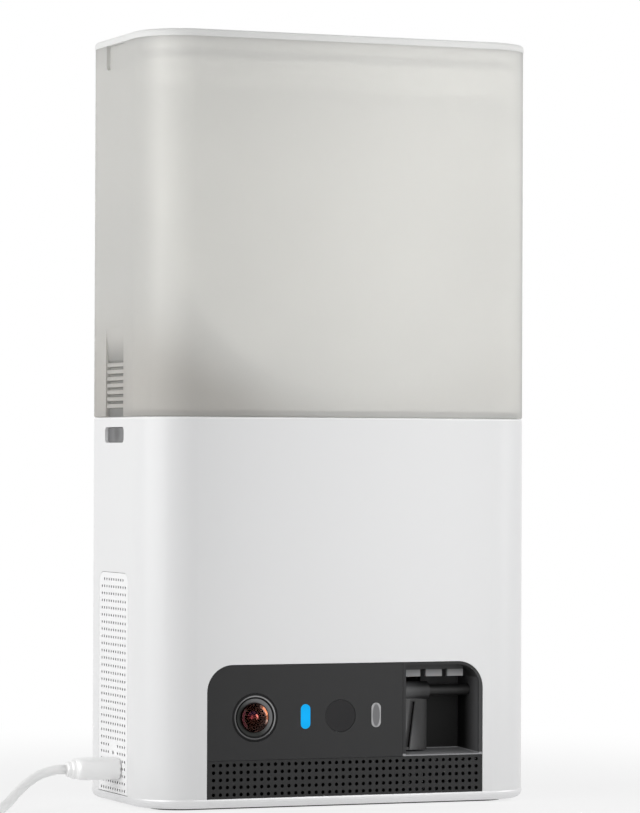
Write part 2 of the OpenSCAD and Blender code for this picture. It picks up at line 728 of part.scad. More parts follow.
module feed_idler() color("ivory") translate([idler_x, 0, feed_gear_z]) difference() {
    union() {
        linear_extrude(feed_gear_t) gear_face(idler_teeth, 180);
        cylinder(r = 4, h = feed_gear_t + 1.5);
    }
    translate([0, 0, -cut]) cylinder(r = 1.5 + shaft_play, h = 20);
}

// Feed gear, its shaft and the dog that turns the feed wheel
module feed_gear() color("ivory") difference() {
    union() {
        translate([0, 0, feed_gear_z]) linear_extrude(feed_gear_t)
            gear_face(feed_teeth, 180 + (idler_teeth % 2 == 0 ? 180 / feed_teeth : 0));
        translate([0, 0, feed_gear_z - 6]) cylinder(r = feed_shaft_r, h = deck_top + 0.6 - feed_gear_z + 6);
        translate([0, 0, deck_top + 0.6]) cylinder(r = 5, h = 2.6);
        translate([-3.5, -1.3, deck_top + 3]) cube([7, 2.6, 3.2]);
    }
}

module gear_plate() color("dimgray") difference() {
    union() {
        translate([-22, 0, feed_gear_z - 4]) linear_extrude(2) rounded_plan(58, 36, 5);
        translate([idler_x, 0, feed_gear_z - 2]) cylinder(r = 3.4, h = 1.7);
        translate([idler_x, 0, feed_gear_z - 2]) cylinder(r = 1.5, h = feed_gear_t + 4);
        for (x = [-46, -4], y = [-15, 15])
            translate([x, y, feed_gear_z - 4]) cylinder(r = 2.4, h = deck_z - feed_gear_z + 4);
    }
    translate([0, 0, feed_gear_z - 5]) cylinder(r = feed_shaft_r + shaft_play, h = 4);
}

module feed_rotor() color("lightsteelblue") difference() {
    union() {
        translate([0, 0, well_floor_z - 0.4]) cylinder(r = 5.2, h = 4);
        translate([0, 0, well_floor_z + well_floor_t + 0.5]) {
            cylinder(r = 7, h = 8);
            translate([0, 0, 8]) cylinder(r1 = 7, r2 = 3, h = 5);
            for (v = [0:rotor_vanes - 1]) rotate(360 * v / rotor_vanes + 180 / rotor_vanes)
                translate([6, -1, 0]) cube([18.4, 2, 9.5]);
            translate([2.2, 0, 11]) rotate([0, 16, 0]) cylinder(r = 1.6, h = 15);
        }
    }
    translate([-3.75, -1.55, well_floor_z - cut]) cube([7.5, 3.1, 3.7]);
}

// ---------------------------------------------------------------- release buttons

slider_z = button_z - 1.35;
hook_x = collar_x - 2.9; // outer face of the hooks, just short of the catches
module release_button() color("dimgray") difference() {
    union() {
        facing_side(side_x - 2.6, 2.6) button_outline(0);
        facing_side(side_x - shell_wall - 1.4, 1.2)
            translate([0, button_z - 0.2]) square([22.6, 6.6], center = true);
        box([61.6, side_x - shell_wall - 0.5], [-6, 6], [slider_z - 1.5, slider_z + 1.5]);
        box([61.4, hook_x], [-10.4, 10.4], [slider_z - 1.4, slider_z + 1.6]);
    }
    // dished finger face
    translate([side_x + 19.4, 15, button_z]) rotate([90, 0, 0]) cylinder(r = 20.6, h = 30, $fn = 128);
}

module release_button_right() release_button();
module release_button_left() mirror([1, 0, 0]) release_button();

module button_spring(x) color("gray") translate([x, 0, slider_z]) rotate([0, 90, 0])
    tube(helix(1.9, 1.2, 5.5, 12), 0.25, 6);
module button_spring_right() button_spring(54.5);
module button_spring_left() mirror([1, 0, 0]) button_spring(54.5);

// ---------------------------------------------------------------- container and lid

grip_half = 9.5;
grip_top = seam_z + 31.4;
grip_step = seam_z + 19.8;
grip_depth = 1.5;
rib_pitch = 2.42;
module grip_recess() {
    // ramp for the finger, then a step with ribs across it
    facing_grip(grip_half) polygon([
        [side_x + cut, grip_top], [side_x, grip_top], [side_x - 1.1, grip_step],
        [side_x - grip_depth, grip_step], [side_x - grip_depth, seam_z - cut],
        [side_x + cut, seam_z - cut]]);
}
module facing_grip(half)
    translate([0, half, 0]) rotate([90, 0, 0]) linear_extrude(2 * half) children();

module grip_ribs()
    for (k = [0:6]) facing_grip(8.8) translate([side_x, grip_step - k * rib_pitch]) polygon([
        [-grip_depth - 0.1, -2.4], [-0.3, -2.1], [-0.3, -0.8], [-grip_depth - 0.1, -0.5]]);

module treat_container() color("gainsboro") union() {
    difference() {
        union() {
            swept_rim() polygon([
                [collar_r - collar_wall, seam_z], [corner_r - edge, seam_z], [corner_r, seam_z + edge],
                [corner_r, lid_z], [container_inner_r, lid_z], [container_inner_r, seam_z + container_wall],
                [collar_r - collar_wall, seam_z + container_wall]]);
            // thicker wall behind the grip
            mirrored_x() box([side_x - 4, side_x - container_wall + 0.1], [-12.5, 12.5],
                [seam_z + 1, grip_top + 2]);
        }
        mirrored_x() grip_recess();
        mirrored_x() facing_side(side_x - 1.3, 1.3 + cut) {
            translate([-10, lid_z - 6.8]) square([20, 7.8]);
            translate([-8, lid_z - 8.8]) square([16, 9.8]);
            for (s = [-1, 1]) translate([s * 8, lid_z - 6.8]) circle(2);
        }
    }
    mirrored_x() grip_ribs();
}

// Ring under the container that plugs into the deck's pocket
module container_collar() color("gainsboro") swept_rim() polygon([
    [collar_r - collar_wall, seam_z - collar_depth], [collar_r - 0.4, seam_z - collar_depth],
    [collar_r, seam_z - collar_depth + 0.6], [collar_r, seam_z], [collar_r - collar_wall, seam_z]]);

// Two catches a side, under the collar. Their lips lie below the ends of the release
// buttons' hooks, and the hooks draw in past them when the buttons are pressed.
module latch_catches() color("gainsboro") mirrored_x() for (s = [-1, 1])
    translate([collar_x - 2, s * 9.1 + 1.5, 0]) rotate([90, 0, 0]) linear_extrude(3) polygon([
        [0, seam_z - collar_depth], [0, slider_z - 2.2], [-0.6, slider_z - 2.8],
        [-0.6, deck_top + 2], [1.5, deck_top + 2], [1.5, seam_z - collar_depth]]);

module trough_round(r)
    translate([0, body_d, trough_z]) rotate([90, 0, 0]) cylinder(r = r, h = 2 * body_d, $fn = 128);

module hopper_trough() color("whitesmoke") difference() {
    union() {
        difference() {
            intersection() {
                trough_round(trough_r + trough_t);
                plan_slab(container_inner_r - 0.3, seam_z - 10, trough_z - seam_z + 10);
            }
            trough_round(trough_r);
        }
        intersection() {
            translate([0, 0, well_floor_z]) cylinder(r = well_r + well_wall, h = 30);
            trough_round(trough_r + trough_t);
        }
        difference() {
            for (sx = [-1, 1], sy = [-1, 1])
                box([sx * 45 - 1, sx * 45 + 1], [sy * 22 - 2.8, sy * 22 + 2.8],
                    [seam_z + container_wall, trough_z - 40]);
            trough_round(trough_r + 0.5);
        }
    }
    translate([0, 0, well_floor_z + well_floor_t]) cylinder(r = well_r, h = 60);
    translate([0, 0, well_floor_z - cut]) cylinder(r = 5.28, h = 10);
    translate([outlet_x, 0, well_floor_z - cut]) cylinder(r = outlet_r, h = 10);
}

module lid() color("white") {
    swept_rim() polygon([
        [0, lid_z], [corner_r + 0.1, lid_z], [corner_r + 0.2, lid_z + 0.3], [corner_r + 0.2, body_h - 1.1],
        [corner_r, body_h - 0.5], [corner_r - 0.4, body_h - 0.15], [corner_r - 1.1, body_h], [0, body_h]]);
    slab_core(lid_z, lid_t);
    swept_rim() polygon([
        [container_inner_r - 2.2, lid_z - lid_skirt], [container_inner_r - 0.8, lid_z - lid_skirt],
        [container_inner_r - 0.6, lid_z - lid_skirt + 0.4], [container_inner_r - 0.6, lid_z],
        [container_inner_r - 2.2, lid_z]]);
}

module lid_seal() color("darkgray") swept_rim()
    translate([container_inner_r - 0.6, lid_z - 7]) square([0.3, 3]);

// ---------------------------------------------------------------- power lead

module usb_c_plug() color("white") {
    facing_side(-side_x - plug_body, plug_body) translate([port_y, port_z]) rounded_plan(12, 7.6, 3);
    // tapering collar that keeps the lead from kinking
    turned_side(-side_x - plug_out, port_y, port_z)
        polygon([[0, 0], [2.2, 0], [2.9, 0.5], [3.5, plug_out - plug_body], [0, plug_out - plug_body]]);
    facing_side(-side_x, 7.6) translate([port_y, port_z]) rotate(90) pill(3, 8.8);
}
module power_cord() color("white") tube(spline(lead_route, 3), cord_r, 8);
module cord_tail() color("white") tube(spline(tail_route, 3), cord_r, 8);

module cord_coil() color("white") {
    echo(least_gap_mm = coil_least_gap(), lead_length_mm =
        route_length(spline(lead_route, 3)) + route_length(coil_path) + route_length(spline(tail_route, 3)));
    tube(coil_path, cord_r, 6);
}

// Strap round the bundle, a quarter turn on from where the lead comes in
module cord_tie() color("dimgray")
    translate([coil_centre[0], coil_centre[1], 0]) rotate(coil_entry_angle - 90) {
        inner = [coil_out_r - coil_loops_per_layer * turn_pitch - cord_r - 0.2, coil_out_r + cord_r + 0.2];
        high = coil_z + (coil_layers - 1) * turn_pitch + cord_r + 0.2;
        translate([(inner[0] + inner[1]) / 2, 3.5, high / 2 + tie_t / 2]) rotate([90, 0, 0]) linear_extrude(7)
            difference() {
                rounded_plan(inner[1] - inner[0] + 2 * tie_t, high + tie_t, 1.4);
                rounded_plan(inner[1] - inner[0], high - tie_t, 0.8);
            }
    }

module usb_a_plug() color("white") translate([plug_back[0], plug_back[1], plug_back[2]])
    rotate(plug_heading) {
        // housing with a stepped neck, then the metal shell
        facing_side(0, 3) rounded_plan(8, 5.4, 2.2);
        facing_side(3, 17) rounded_plan(15.6, 7.6, 1.8);
        difference() {
            facing_side(20, 12) square([12, 4.5], center = true);
            facing_side(21, 12) translate([0, -0.95]) square([11.4, 2], center = true);
        }
    }

// ---------------------------------------------------------------- the parts

lower_shell();
base_plate();
base_pad();
ballast_plate();
base_screws();
top_deck();
front_fascia();
speaker_grille();
speaker_driver();
camera_bezel();
camera_lens();
camera_barrel();
camera_board();
status_light();
infrared_light();
sensor_window();
chute_frame();
comb_flap();
drop_shaft();
side_vent();
usb_socket();
reset_switch();
main_board();
motor_cover();
feed_motor();
gear_plate();
launch_frame();
launch_motor();
launch_spring();
button_spring_left();
button_spring_right();
usb_c_plug();
power_cord();
cord_coil();
cord_tail();
cord_tie();
usb_a_plug();
launch_paddle();
launch_shaft();
launch_gear();
drive_gear();
launch_pinion();
feed_gear();
feed_idler();
feed_pinion();
feed_rotor();
release_button_left();
release_button_right();
reset_button();
treat_container();
container_collar();
latch_catches();
hopper_trough();
lid();
lid_seal();
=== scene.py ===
"""Finishes, lens, lead and studio for a treat tossing pet camera with its rigid parts modelled.

Lengths are in metres, in the frame of the parts: the front faces -Y, +X is to the right and the
table is z = 0. Each piece and each finish is made by its own operator, from the settings below.
"""

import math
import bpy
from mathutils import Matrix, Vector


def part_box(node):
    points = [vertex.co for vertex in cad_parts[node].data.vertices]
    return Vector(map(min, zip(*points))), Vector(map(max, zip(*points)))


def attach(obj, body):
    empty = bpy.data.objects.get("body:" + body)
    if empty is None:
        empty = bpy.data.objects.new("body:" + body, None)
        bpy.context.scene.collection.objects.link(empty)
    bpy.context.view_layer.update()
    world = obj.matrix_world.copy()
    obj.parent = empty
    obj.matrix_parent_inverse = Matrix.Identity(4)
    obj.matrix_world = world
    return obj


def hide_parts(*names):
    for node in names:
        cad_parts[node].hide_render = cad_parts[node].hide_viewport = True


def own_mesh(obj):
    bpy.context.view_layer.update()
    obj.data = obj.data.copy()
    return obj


bl_info = {
    "name": "Treat Camera Dressing",
    "version": (1, 0, 0),
    "blender": (4, 5, 0),
    "location": "3D View > Sidebar > Treat Camera",
    "description": "Adds finishes, a lens, springs, a coiled lead and a studio to the parts",
    "category": "Object",
}

import bmesh
import bpy
import numpy as np
from bpy.props import FloatProperty, FloatVectorProperty, IntProperty, PointerProperty
from bpy.types import Operator, Panel, PropertyGroup
from mathutils import Quaternion, Vector

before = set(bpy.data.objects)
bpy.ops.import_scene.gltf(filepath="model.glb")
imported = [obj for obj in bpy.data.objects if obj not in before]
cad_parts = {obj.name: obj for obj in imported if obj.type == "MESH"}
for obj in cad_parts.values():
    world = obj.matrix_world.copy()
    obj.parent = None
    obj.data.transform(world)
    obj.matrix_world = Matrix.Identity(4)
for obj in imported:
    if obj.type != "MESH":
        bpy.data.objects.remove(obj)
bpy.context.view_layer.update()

MM = 0.001
PANEL_FRONT = -0.0375
EYE_HEIGHT = 0.0322
LENS_CENTRE = (-0.0346, EYE_HEIGHT)
STATUS_X, INFRARED_X = -0.0156, 0.0112
HOPPER_AXIS_Z = 0.217
PADDLE_AXIS = (-0.0275, 0.04)
SPRING_SEAT, BUTTON_SPRING_Z = 0.0545, 0.1294

PLUG_END = (-0.0927, -0.0039, 0.0132)
LEAD_HEADING = math.radians(240)
TURN_GAP = 0.00055
FAR_PLUG = np.array([-0.169, 0.002, 0.004])
FAR_HEADING = math.radians(65)
UP = np.array([0.0, 0.0, 1.0])


# ---- settings


def colour(name, description, value):
    """A colour setting with its name, description and default."""
    return FloatVectorProperty(
        name=name, description=description, subtype="COLOR", size=3, min=0, max=1, default=value
    )


def length(name, description, value):
    """A length setting in metres."""
    return FloatProperty(
        name=name, description=description, subtype="DISTANCE", unit="LENGTH", min=0, default=value
    )


class BodySettings(PropertyGroup):
    """Colours of the housing and of what shows on it."""

    shell: colour("Shell", "Satin white of the lower housing", (0.82, 0.82, 0.82))
    container: colour("Container", "Smoky tint of the treat container", (0.885, 0.88, 0.853))
    lid: colour("Lid", "Milky tint of the lid", (0.95, 0.95, 0.935))
    panel: colour("Panel", "Dark grey of the front panel", (0.02, 0.02, 0.0205))
    foot: colour("Foot", "Silver of the foot plate", (0.78, 0.78, 0.785))
    button: colour("Button", "Dark grey of the release buttons", (0.12, 0.12, 0.122))
    status: colour("Status light", "Lit colour of the status light", (0.001, 0.425, 0.92))


class LensSettings(PropertyGroup):
    """Sizes of the camera's lens and the colour of the reflection painted on its glass."""

    dome_radius: length("Dome radius", "Radius of curvature of the outer glass", 0.00985)
    dome_reach: length("Dome reach", "Radius of the glass at its rim", 0.0049)
    # Colour of the reflection arc painted near the rim of the outer glass.
    coating: colour("Coating", "Tint that the glass coating reflects at its edge", (0.7, 0.24, 0.11))


class LeadSettings(PropertyGroup):
    """The power lead and the coil that its spare length lies in."""

    diameter: length("Diameter", "Outside diameter of the lead", 0.0034)
    coil_radius: length("Coil radius", "Radius of the coil's middle turn", 0.0205)
    loops: FloatProperty(name="Loops", description="Loops in one layer of the coil", default=3.5)
    layers: IntProperty(name="Layers", description="Layers of the coil", default=4)
    tint: colour("Tint", "White of the lead and its plugs", (0.97, 0.97, 0.965))


class StudioSettings(PropertyGroup):
    """Camera and lamps."""

    focal_length: FloatProperty(
        name="Focal length", description="Millimetres on a 36 mm frame", default=174.04
    )
    ambient: FloatProperty(name="Ambient", description="Light from all round", default=0.43)
    key: FloatProperty(name="Key", description="Watts of the lamp on the left", default=8.2)
    fill: FloatProperty(name="Fill", description="Watts of the lamp on the right", default=4.2)
    strip: FloatProperty(name="Strip", description="Watts of the strip in front", default=0.06)


class TreatCameraSettings(PropertyGroup):
    """All settings of the treat camera's dressing."""

    body: PointerProperty(type=BodySettings)
    lens: PointerProperty(type=LensSettings)
    lead: PointerProperty(type=LeadSettings)
    studio: PointerProperty(type=StudioSettings)


# ---- finishes


class Signal:
    """An output socket of a node. Sums, products and powers of signals add their Math nodes."""

    def __init__(self, tree, node, output):
        self.tree = tree
        self.node = node
        self.socket = node.outputs[output] if node.outputs else None

    def _sum_up(self, operation, first, second):
        return self.tree.node("Math", {"operation": operation}, {0: first, 1: second})

    def __add__(self, other):
        return self._sum_up("ADD", self, other)

    def __radd__(self, other):
        return self._sum_up("ADD", other, self)

    def __sub__(self, other):
        return self._sum_up("SUBTRACT", self, other)

    def __rsub__(self, other):
        return self._sum_up("SUBTRACT", other, self)

    def __mul__(self, other):
        return self._sum_up("MULTIPLY", self, other)

    def __rmul__(self, other):
        return self._sum_up("MULTIPLY", other, self)

    def __pow__(self, other):
        return self._sum_up("POWER", self, other)


class Nodes:
    """The nodes of one material or world."""

    def __init__(self, owner):
        owner.use_nodes = True
        self.tree = owner.node_tree
        self.tree.nodes.clear()

    def node(self, kind, settings=None, inputs=None, output=0):
        """Adds a node, sets its settings, feeds its inputs and returns one output as a signal."""
        node = self.tree.nodes.new(f"ShaderNode{kind}")
        for key, value in (settings or {}).items():
            setattr(node, key, value)
        for key, value in (inputs or {}).items():
            self.feed(node.inputs[key], value)
        return Signal(self, node, output)

    def feed(self, socket, value):
        """Links a signal to the socket, or sets the socket's own value."""
        if isinstance(value, Signal):
            self.tree.links.new(value.socket, socket)
        elif socket.type == "RGBA" and len(value) == 3:
            socket.default_value = (*value, 1)
        else:
            socket.default_value = value

    def watched(self):
        """1 for rays from the camera, a mirror or glass, and 0 for those that light the object."""
        camera, glossy, through = (
            self.node("LightPath", output=f"Is {kind} Ray")
            for kind in ("Camera", "Glossy", "Transmission")
        )
        rays = {0: camera + glossy + through, 1: 1.0}
        return self.node("Math", {"operation": "MINIMUM"}, rays)


class Finish(Nodes):
    """One procedural material: a Principled shader and the patterns that feed it."""

    def __init__(self, name, **constants):
        self.material = bpy.data.materials.new(name)
        super().__init__(self.material)
        self.shader = self.node("BsdfPrincipled")
        self.surface = self.node("OutputMaterial", inputs={0: self.shader})
        self.set(**constants)
        self.place = self.node("TexCoord", output="Object")

    def set(self, **sockets):
        """Feeds sockets of the shader, their names written with underscores."""
        for key, value in sockets.items():
            self.feed(self.shader.node.inputs[key.replace("_", " ")], value)
        return self

    def axis(self, name):
        """One coordinate of the place on the piece, in metres."""
        return self.node("SeparateXYZ", inputs={0: self.place}, output=name)

    def from_axis(self, first, second, centre):
        """Distance from a line through centre that is square to both named axes."""
        across, up = self.axis(first) - centre[0], self.axis(second) - centre[1]
        return (across * across + up * up) ** 0.5

    def stretched(self, scale):
        """The place on the piece, scaled for a grain that runs one way."""
        return self.node("Mapping", inputs={"Vector": self.place, "Scale": scale})

    def noise(self, scale, detail=2.0, roughness=0.5, at=None):
        """Cloudy noise from 0 to 1, with scale features to the metre."""
        inputs = {"Vector": at or self.place, "Scale": scale, "Detail": detail, "Roughness": roughness}
        return self.node("TexNoise", inputs=inputs)

    def cells(self, scale, distance="EUCLIDEAN", scatter=1.0):
        """Distance within cells, with scale cells to the metre, scattered or in rows."""
        inputs = {"Vector": self.place, "Scale": scale, "Randomness": scatter}
        return self.node("TexVoronoi", {"distance": distance}, inputs, output="Distance")

    def step(self, signal, low, high, start=0.0, end=1.0):
        """Runs smoothly from start to end as the signal goes from low to high."""
        inputs = {0: signal, 1: low, 2: high, 3: start, 4: end}
        return self.node("MapRange", {"interpolation_type": "SMOOTHSTEP"}, inputs)

    def between(self, first, second, share):
        """Mixes two colours."""
        inputs = {0: share, 6: first, 7: second}
        return self.node("Mix", {"data_type": "RGBA"}, inputs, output=2)

    def bump(self, height, depth, strength=1.0):
        """A normal from a height from 0 to 1 that stands for depth metres."""
        inputs = {"Strength": strength, "Distance": depth, "Height": height}
        return self.node("Bump", inputs=inputs)


def shade(rgb, factor):
    """The colour made lighter or darker."""
    return tuple(min(1.0, c * factor) for c in rgb)


def moulded(name, rgb, roughness=0.42, grain=0.5, mottle=0.03, **constants):
    """Moulded plastic: eroded tool grain in the bump, faint flow mottling in colour and gloss."""
    finish = Finish(name, IOR=1.46, **constants)
    flow = finish.noise(55, 3, 0.55)
    fine = finish.noise(3800, 2, 0.6)
    rubbed = finish.noise(260, 4, 0.62)
    tone = finish.between(shade(rgb, 1 - mottle), shade(rgb, 1 + mottle), flow)
    gloss = roughness - 0.05 + 0.07 * rubbed + 0.03 * fine
    return finish.set(
        Base_Color=tone,
        Roughness=gloss,
        Normal=finish.bump(fine * 0.7 + rubbed * 0.3, 0.00004, grain),
    )


def machined(name, rgb, roughness=0.28, scale=(400, 400, 400), wear=0.25, **constants):
    """Bare or plated metal: fine lines along one way and cloudy tarnish."""
    finish = Finish(name, **{"Metallic": 1.0, **constants})
    lines = finish.noise(6, 4, 0.7, at=finish.stretched(scale))
    tarnish = finish.noise(120, 3, 0.6)
    tone = finish.between(rgb, shade(rgb, 1 - wear), finish.step(tarnish, 0.35, 0.75))
    gloss = roughness - 0.06 + 0.14 * lines + 0.08 * tarnish
    return finish.set(Base_Color=tone, Roughness=gloss, Normal=finish.bump(lines, 0.00003, 0.6))


def dress(finish, *nodes):
    """Gives carried-over parts a finish."""
    for name in nodes:
        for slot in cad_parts[name].material_slots:
            slot.material = finish.material


# ---- shapes


def skinned(name, grid, closed_along=False, sharp=None):
    """A mesh over rows of points. Corner i, j is joined to i+1, j and to i, j+1; the points of a
    row always close into a ring, and the rows do too where the piece is closed along its path.
    Points in one place are merged, so a row of equal points closes an end."""
    rows, ring = grid.shape[:2]
    row = np.arange(rows if closed_along else rows - 1)[:, None] * ring
    j, next_row = np.arange(ring), (row + ring) % (rows * ring)
    next_j = (j + 1) % ring
    quads = np.stack([row + j, row + next_j, next_row + next_j, next_row + j], -1).reshape(-1, 4)
    mesh = bpy.data.meshes.new(name)
    mesh.from_pydata(grid.reshape(-1, 3).tolist(), [], quads.tolist())
    work = bmesh.new()
    work.from_mesh(mesh)
    bmesh.ops.remove_doubles(work, verts=work.verts, dist=1e-7)
    bmesh.ops.recalc_face_normals(work, faces=work.faces)
    work.to_mesh(mesh)
    work.free()
    mesh.shade_smooth()
    if sharp:
        mesh.set_sharp_from_angle(angle=math.radians(sharp))
    piece = bpy.data.objects.new(name, mesh)
    bpy.context.scene.collection.objects.link(piece)
    return piece


def directions(path):
    """Unit direction at each point of a path: the difference of its neighbours."""
    step = np.gradient(path, axis=0)
    return step / np.linalg.norm(step, axis=1, keepdims=True)


def swept(name, path, side, up, section, closed=False, sharp=None):
    """A section carried along a path: point j of ring i is P_i + a_j S_i + b_j U_i, with side
    and up vectors S and U. An open piece gets a point at each end that closes it."""
    section = np.broadcast_to(section, (len(path), *section.shape[-2:]))
    grid = path[:, None] + section[..., :1] * side[:, None] + section[..., 1:] * up[:, None]
    if not closed:
        ends = [np.repeat(path[k][None, None], grid.shape[1], axis=1) for k in (0, -1)]
        grid = np.concatenate([ends[0], grid, ends[1]])
    return skinned(name, grid, closed, sharp)


def round_directions(path):
    """Unit direction at each point of a closed path."""
    step = np.roll(path, -1, 0) - np.roll(path, 1, 0)
    return step / np.linalg.norm(step, axis=1, keepdims=True)


def circle(radius, sides):
    """Points r cos a, r sin a round a circle."""
    a = np.arange(sides) * 2 * np.pi / sides
    return radius * np.stack([np.cos(a), np.sin(a)], 1)


def rounded(half_w, half_h, radius, steps=6):
    """Rounded rectangle: in each quarter the corner's centre plus r (cos a, sin a). The sizes may
    be arrays, for a section that changes along its path."""
    quarter = np.arange(4).repeat(steps)
    a = (quarter + np.tile(np.linspace(0, 1, steps), 4)) * np.pi / 2
    sx, sy = np.array([1, -1, -1, 1])[quarter], np.array([1, 1, -1, -1])[quarter]
    w, h, r = (np.asarray(v, float)[..., None] for v in (half_w, half_h, radius))
    return np.stack(np.broadcast_arrays(sx * (w - r) + r * np.cos(a), sy * (h - r) + r * np.sin(a)), -1)


def lofted(name, start, heading, stations, sharp=40):
    """Rounded rectangles strung along a straight line: station k lies s_k from the start, with
    half width w_k across the line, half height h_k along Z and corner radius r_k, all in mm."""
    s, w, h, r = np.array(stations, float).T * MM
    ahead = np.array([math.cos(heading), math.sin(heading), 0.0])
    across = np.array([-ahead[1], ahead[0], 0.0])
    path = np.array(start) + s[:, None] * ahead
    full = np.ones((len(s), 1))
    return swept(name, path, full * across, full * UP, rounded(w, h, r), sharp=sharp)


def turned(name, profile):
    """A profile of radius r_k and depth d_k, in mm, turned about the lens's axis, which runs
    along Y: each point is (x + r cos a, y + d, z + r sin a)."""
    (x, z), (r, d) = LENS_CENTRE, np.array(profile, float).T[..., None] * MM
    a = np.arange(96) * 2 * np.pi / 96
    grid = np.broadcast_arrays(x + r * np.cos(a), PANEL_FRONT + d, z + r * np.sin(a))
    return skinned(name, np.stack(grid, -1), sharp=35)


def arc(radius, centre_depth, start, end, steps=16):
    """Profile points on a sphere of that radius about a centre on the axis: at radius r the
    depth is c - sqrt(R^2 - r^2)."""
    r = np.linspace(start, end, steps)
    return list(zip(r, centre_depth - np.sqrt(radius**2 - r**2)))


def wear(piece, finish, body, slot, *stands_for):
    """Gives a new piece its finish and its body, and hides the parts it stands for; the slot is not
    used.
    """
    piece.data.materials.append(finish.material)
    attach(piece, body)
    if stands_for:
        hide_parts(*stands_for)


# ---- camera and lead


class TREATCAM_OT_photo_camera(Operator):
    """Stands the camera where the picture was taken from"""

    bl_idname = "treatcam.photo_camera"
    bl_label = "Camera"

    def execute(self, context):
        data = bpy.data.cameras.new("photo_camera")
        data.lens = context.scene.treatcam.studio.focal_length
        data.sensor_width = 36
        camera = bpy.data.objects.new("photo_camera", data)
        camera.location = (-0.52554, -1.3185, 0.12269)
        level = Vector((0.37294, 0.92776, 0.01319)).to_track_quat("-Z", "Y")
        camera.rotation_euler = (level @ Quaternion((0, 0, 1), 0.00361)).to_euler()
        context.scene.collection.objects.link(camera)
        context.scene.camera = camera
        return {"FINISHED"}


def smooth_run(points, steps):
    """Catmull-Rom curve with straight first and last spans: between b and c it is
    0.5 (2b + (c - a) t + (2a - 5b + 4c - d) t^2 + (3b - a - 3c + d) t^3)."""
    p = np.array(points)
    a, b, c, d = (p[k : len(p) - 3 + k, None] for k in range(4))
    t = (np.arange(steps) / steps)[None, :, None]
    curve = 0.5 * (
        2 * b + (c - a) * t + (2 * a - 5 * b + 4 * c - d) * t**2 + (3 * b - a - 3 * c + d) * t**3
    )
    return np.concatenate([p[:1], curve.reshape(-1, 3), p[-2:]])


def lead_path(lead):
    """Points down the lead: from its plug to the table, round the coil and on to the far plug.
    A coil point is the centre plus R - p f(t) at the angle A - 360 t, where f counts the loops in
    and out again a layer at a time, and a layer is climbed in the half turn round each reversal."""
    d, n = lead.diameter, lead.loops
    pitch = d + TURN_GAP
    tie_under = 0.00075
    low = tie_under + d / 2
    ahead = np.array([math.cos(LEAD_HEADING), math.sin(LEAD_HEADING), 0.0])
    right = np.array([-ahead[1], ahead[0], 0.0])
    start = np.array([-0.13934, -0.05355, 0.0])
    outer = lead.coil_radius + n * pitch / 2
    centre = start - outer * right
    end = centre - (outer - pitch / 2) * right
    t = np.linspace(0, lead.layers * n - 0.5, int((lead.layers * n - 0.5) * 36) + 1)
    folded = n - np.abs(t % (2 * n) - n)
    climbs = np.clip((t[:, None] - n * np.arange(1, lead.layers)) * 2 + 0.5, 0, 1)
    height = low + pitch * (climbs**2 * (3 - 2 * climbs)).sum(1)
    reach, turn = outer - pitch * folded, LEAD_HEADING + np.pi / 2 - 2 * np.pi * t
    coil = np.stack([centre[0] + reach * np.cos(turn), centre[1] + reach * np.sin(turn), height], 1)

    def beside(point, along, z):
        return point + along * ahead + [0, 0, z]

    down = [
        PLUG_END, (-0.0961, -0.0039, 0.0132), (-0.102, -0.0048, 0.0119), (-0.108, -0.0084, 0.0094),
        (-0.114, -0.0144, 0.0064), (-0.1194, -0.0214, 0.0036), (-0.125, -0.029, 0.0019),
        (-0.1307, -0.0384, 0.00175), beside(start, -2 * d, low), beside(start, -d, low),
    ]
    away = [
        beside(end, -d, height[-1]), beside(end, -2 * d, height[-1]), (-0.1787, -0.0162, 0.0127),
        (-0.1758, -0.0109, 0.009), (-0.173, -0.0059, 0.0054),
        FAR_PLUG - d * np.array([math.cos(FAR_HEADING), math.sin(FAR_HEADING), 0]), FAR_PLUG,
    ]
    return np.concatenate([smooth_run(down, 8), coil, smooth_run(away, 8)]), centre, outer, height[-1]


def lead_finish(tint):
    """Extruded soft jacket: cloudy tint, handling marks and a waxy gloss."""
    finish = Finish("lead_jacket", IOR=1.48, Metallic=0.3)
    marks = finish.noise(900, 3, 0.6)
    cloudy = finish.noise(90, 2, 0.5)
    return finish.set(
        Base_Color=finish.between(shade(tint, 0.955), shade(tint, 1.02), cloudy),
        Roughness=0.4 + 0.14 * marks,
        Normal=finish.bump(marks, 0.00003, 0.5),
    )


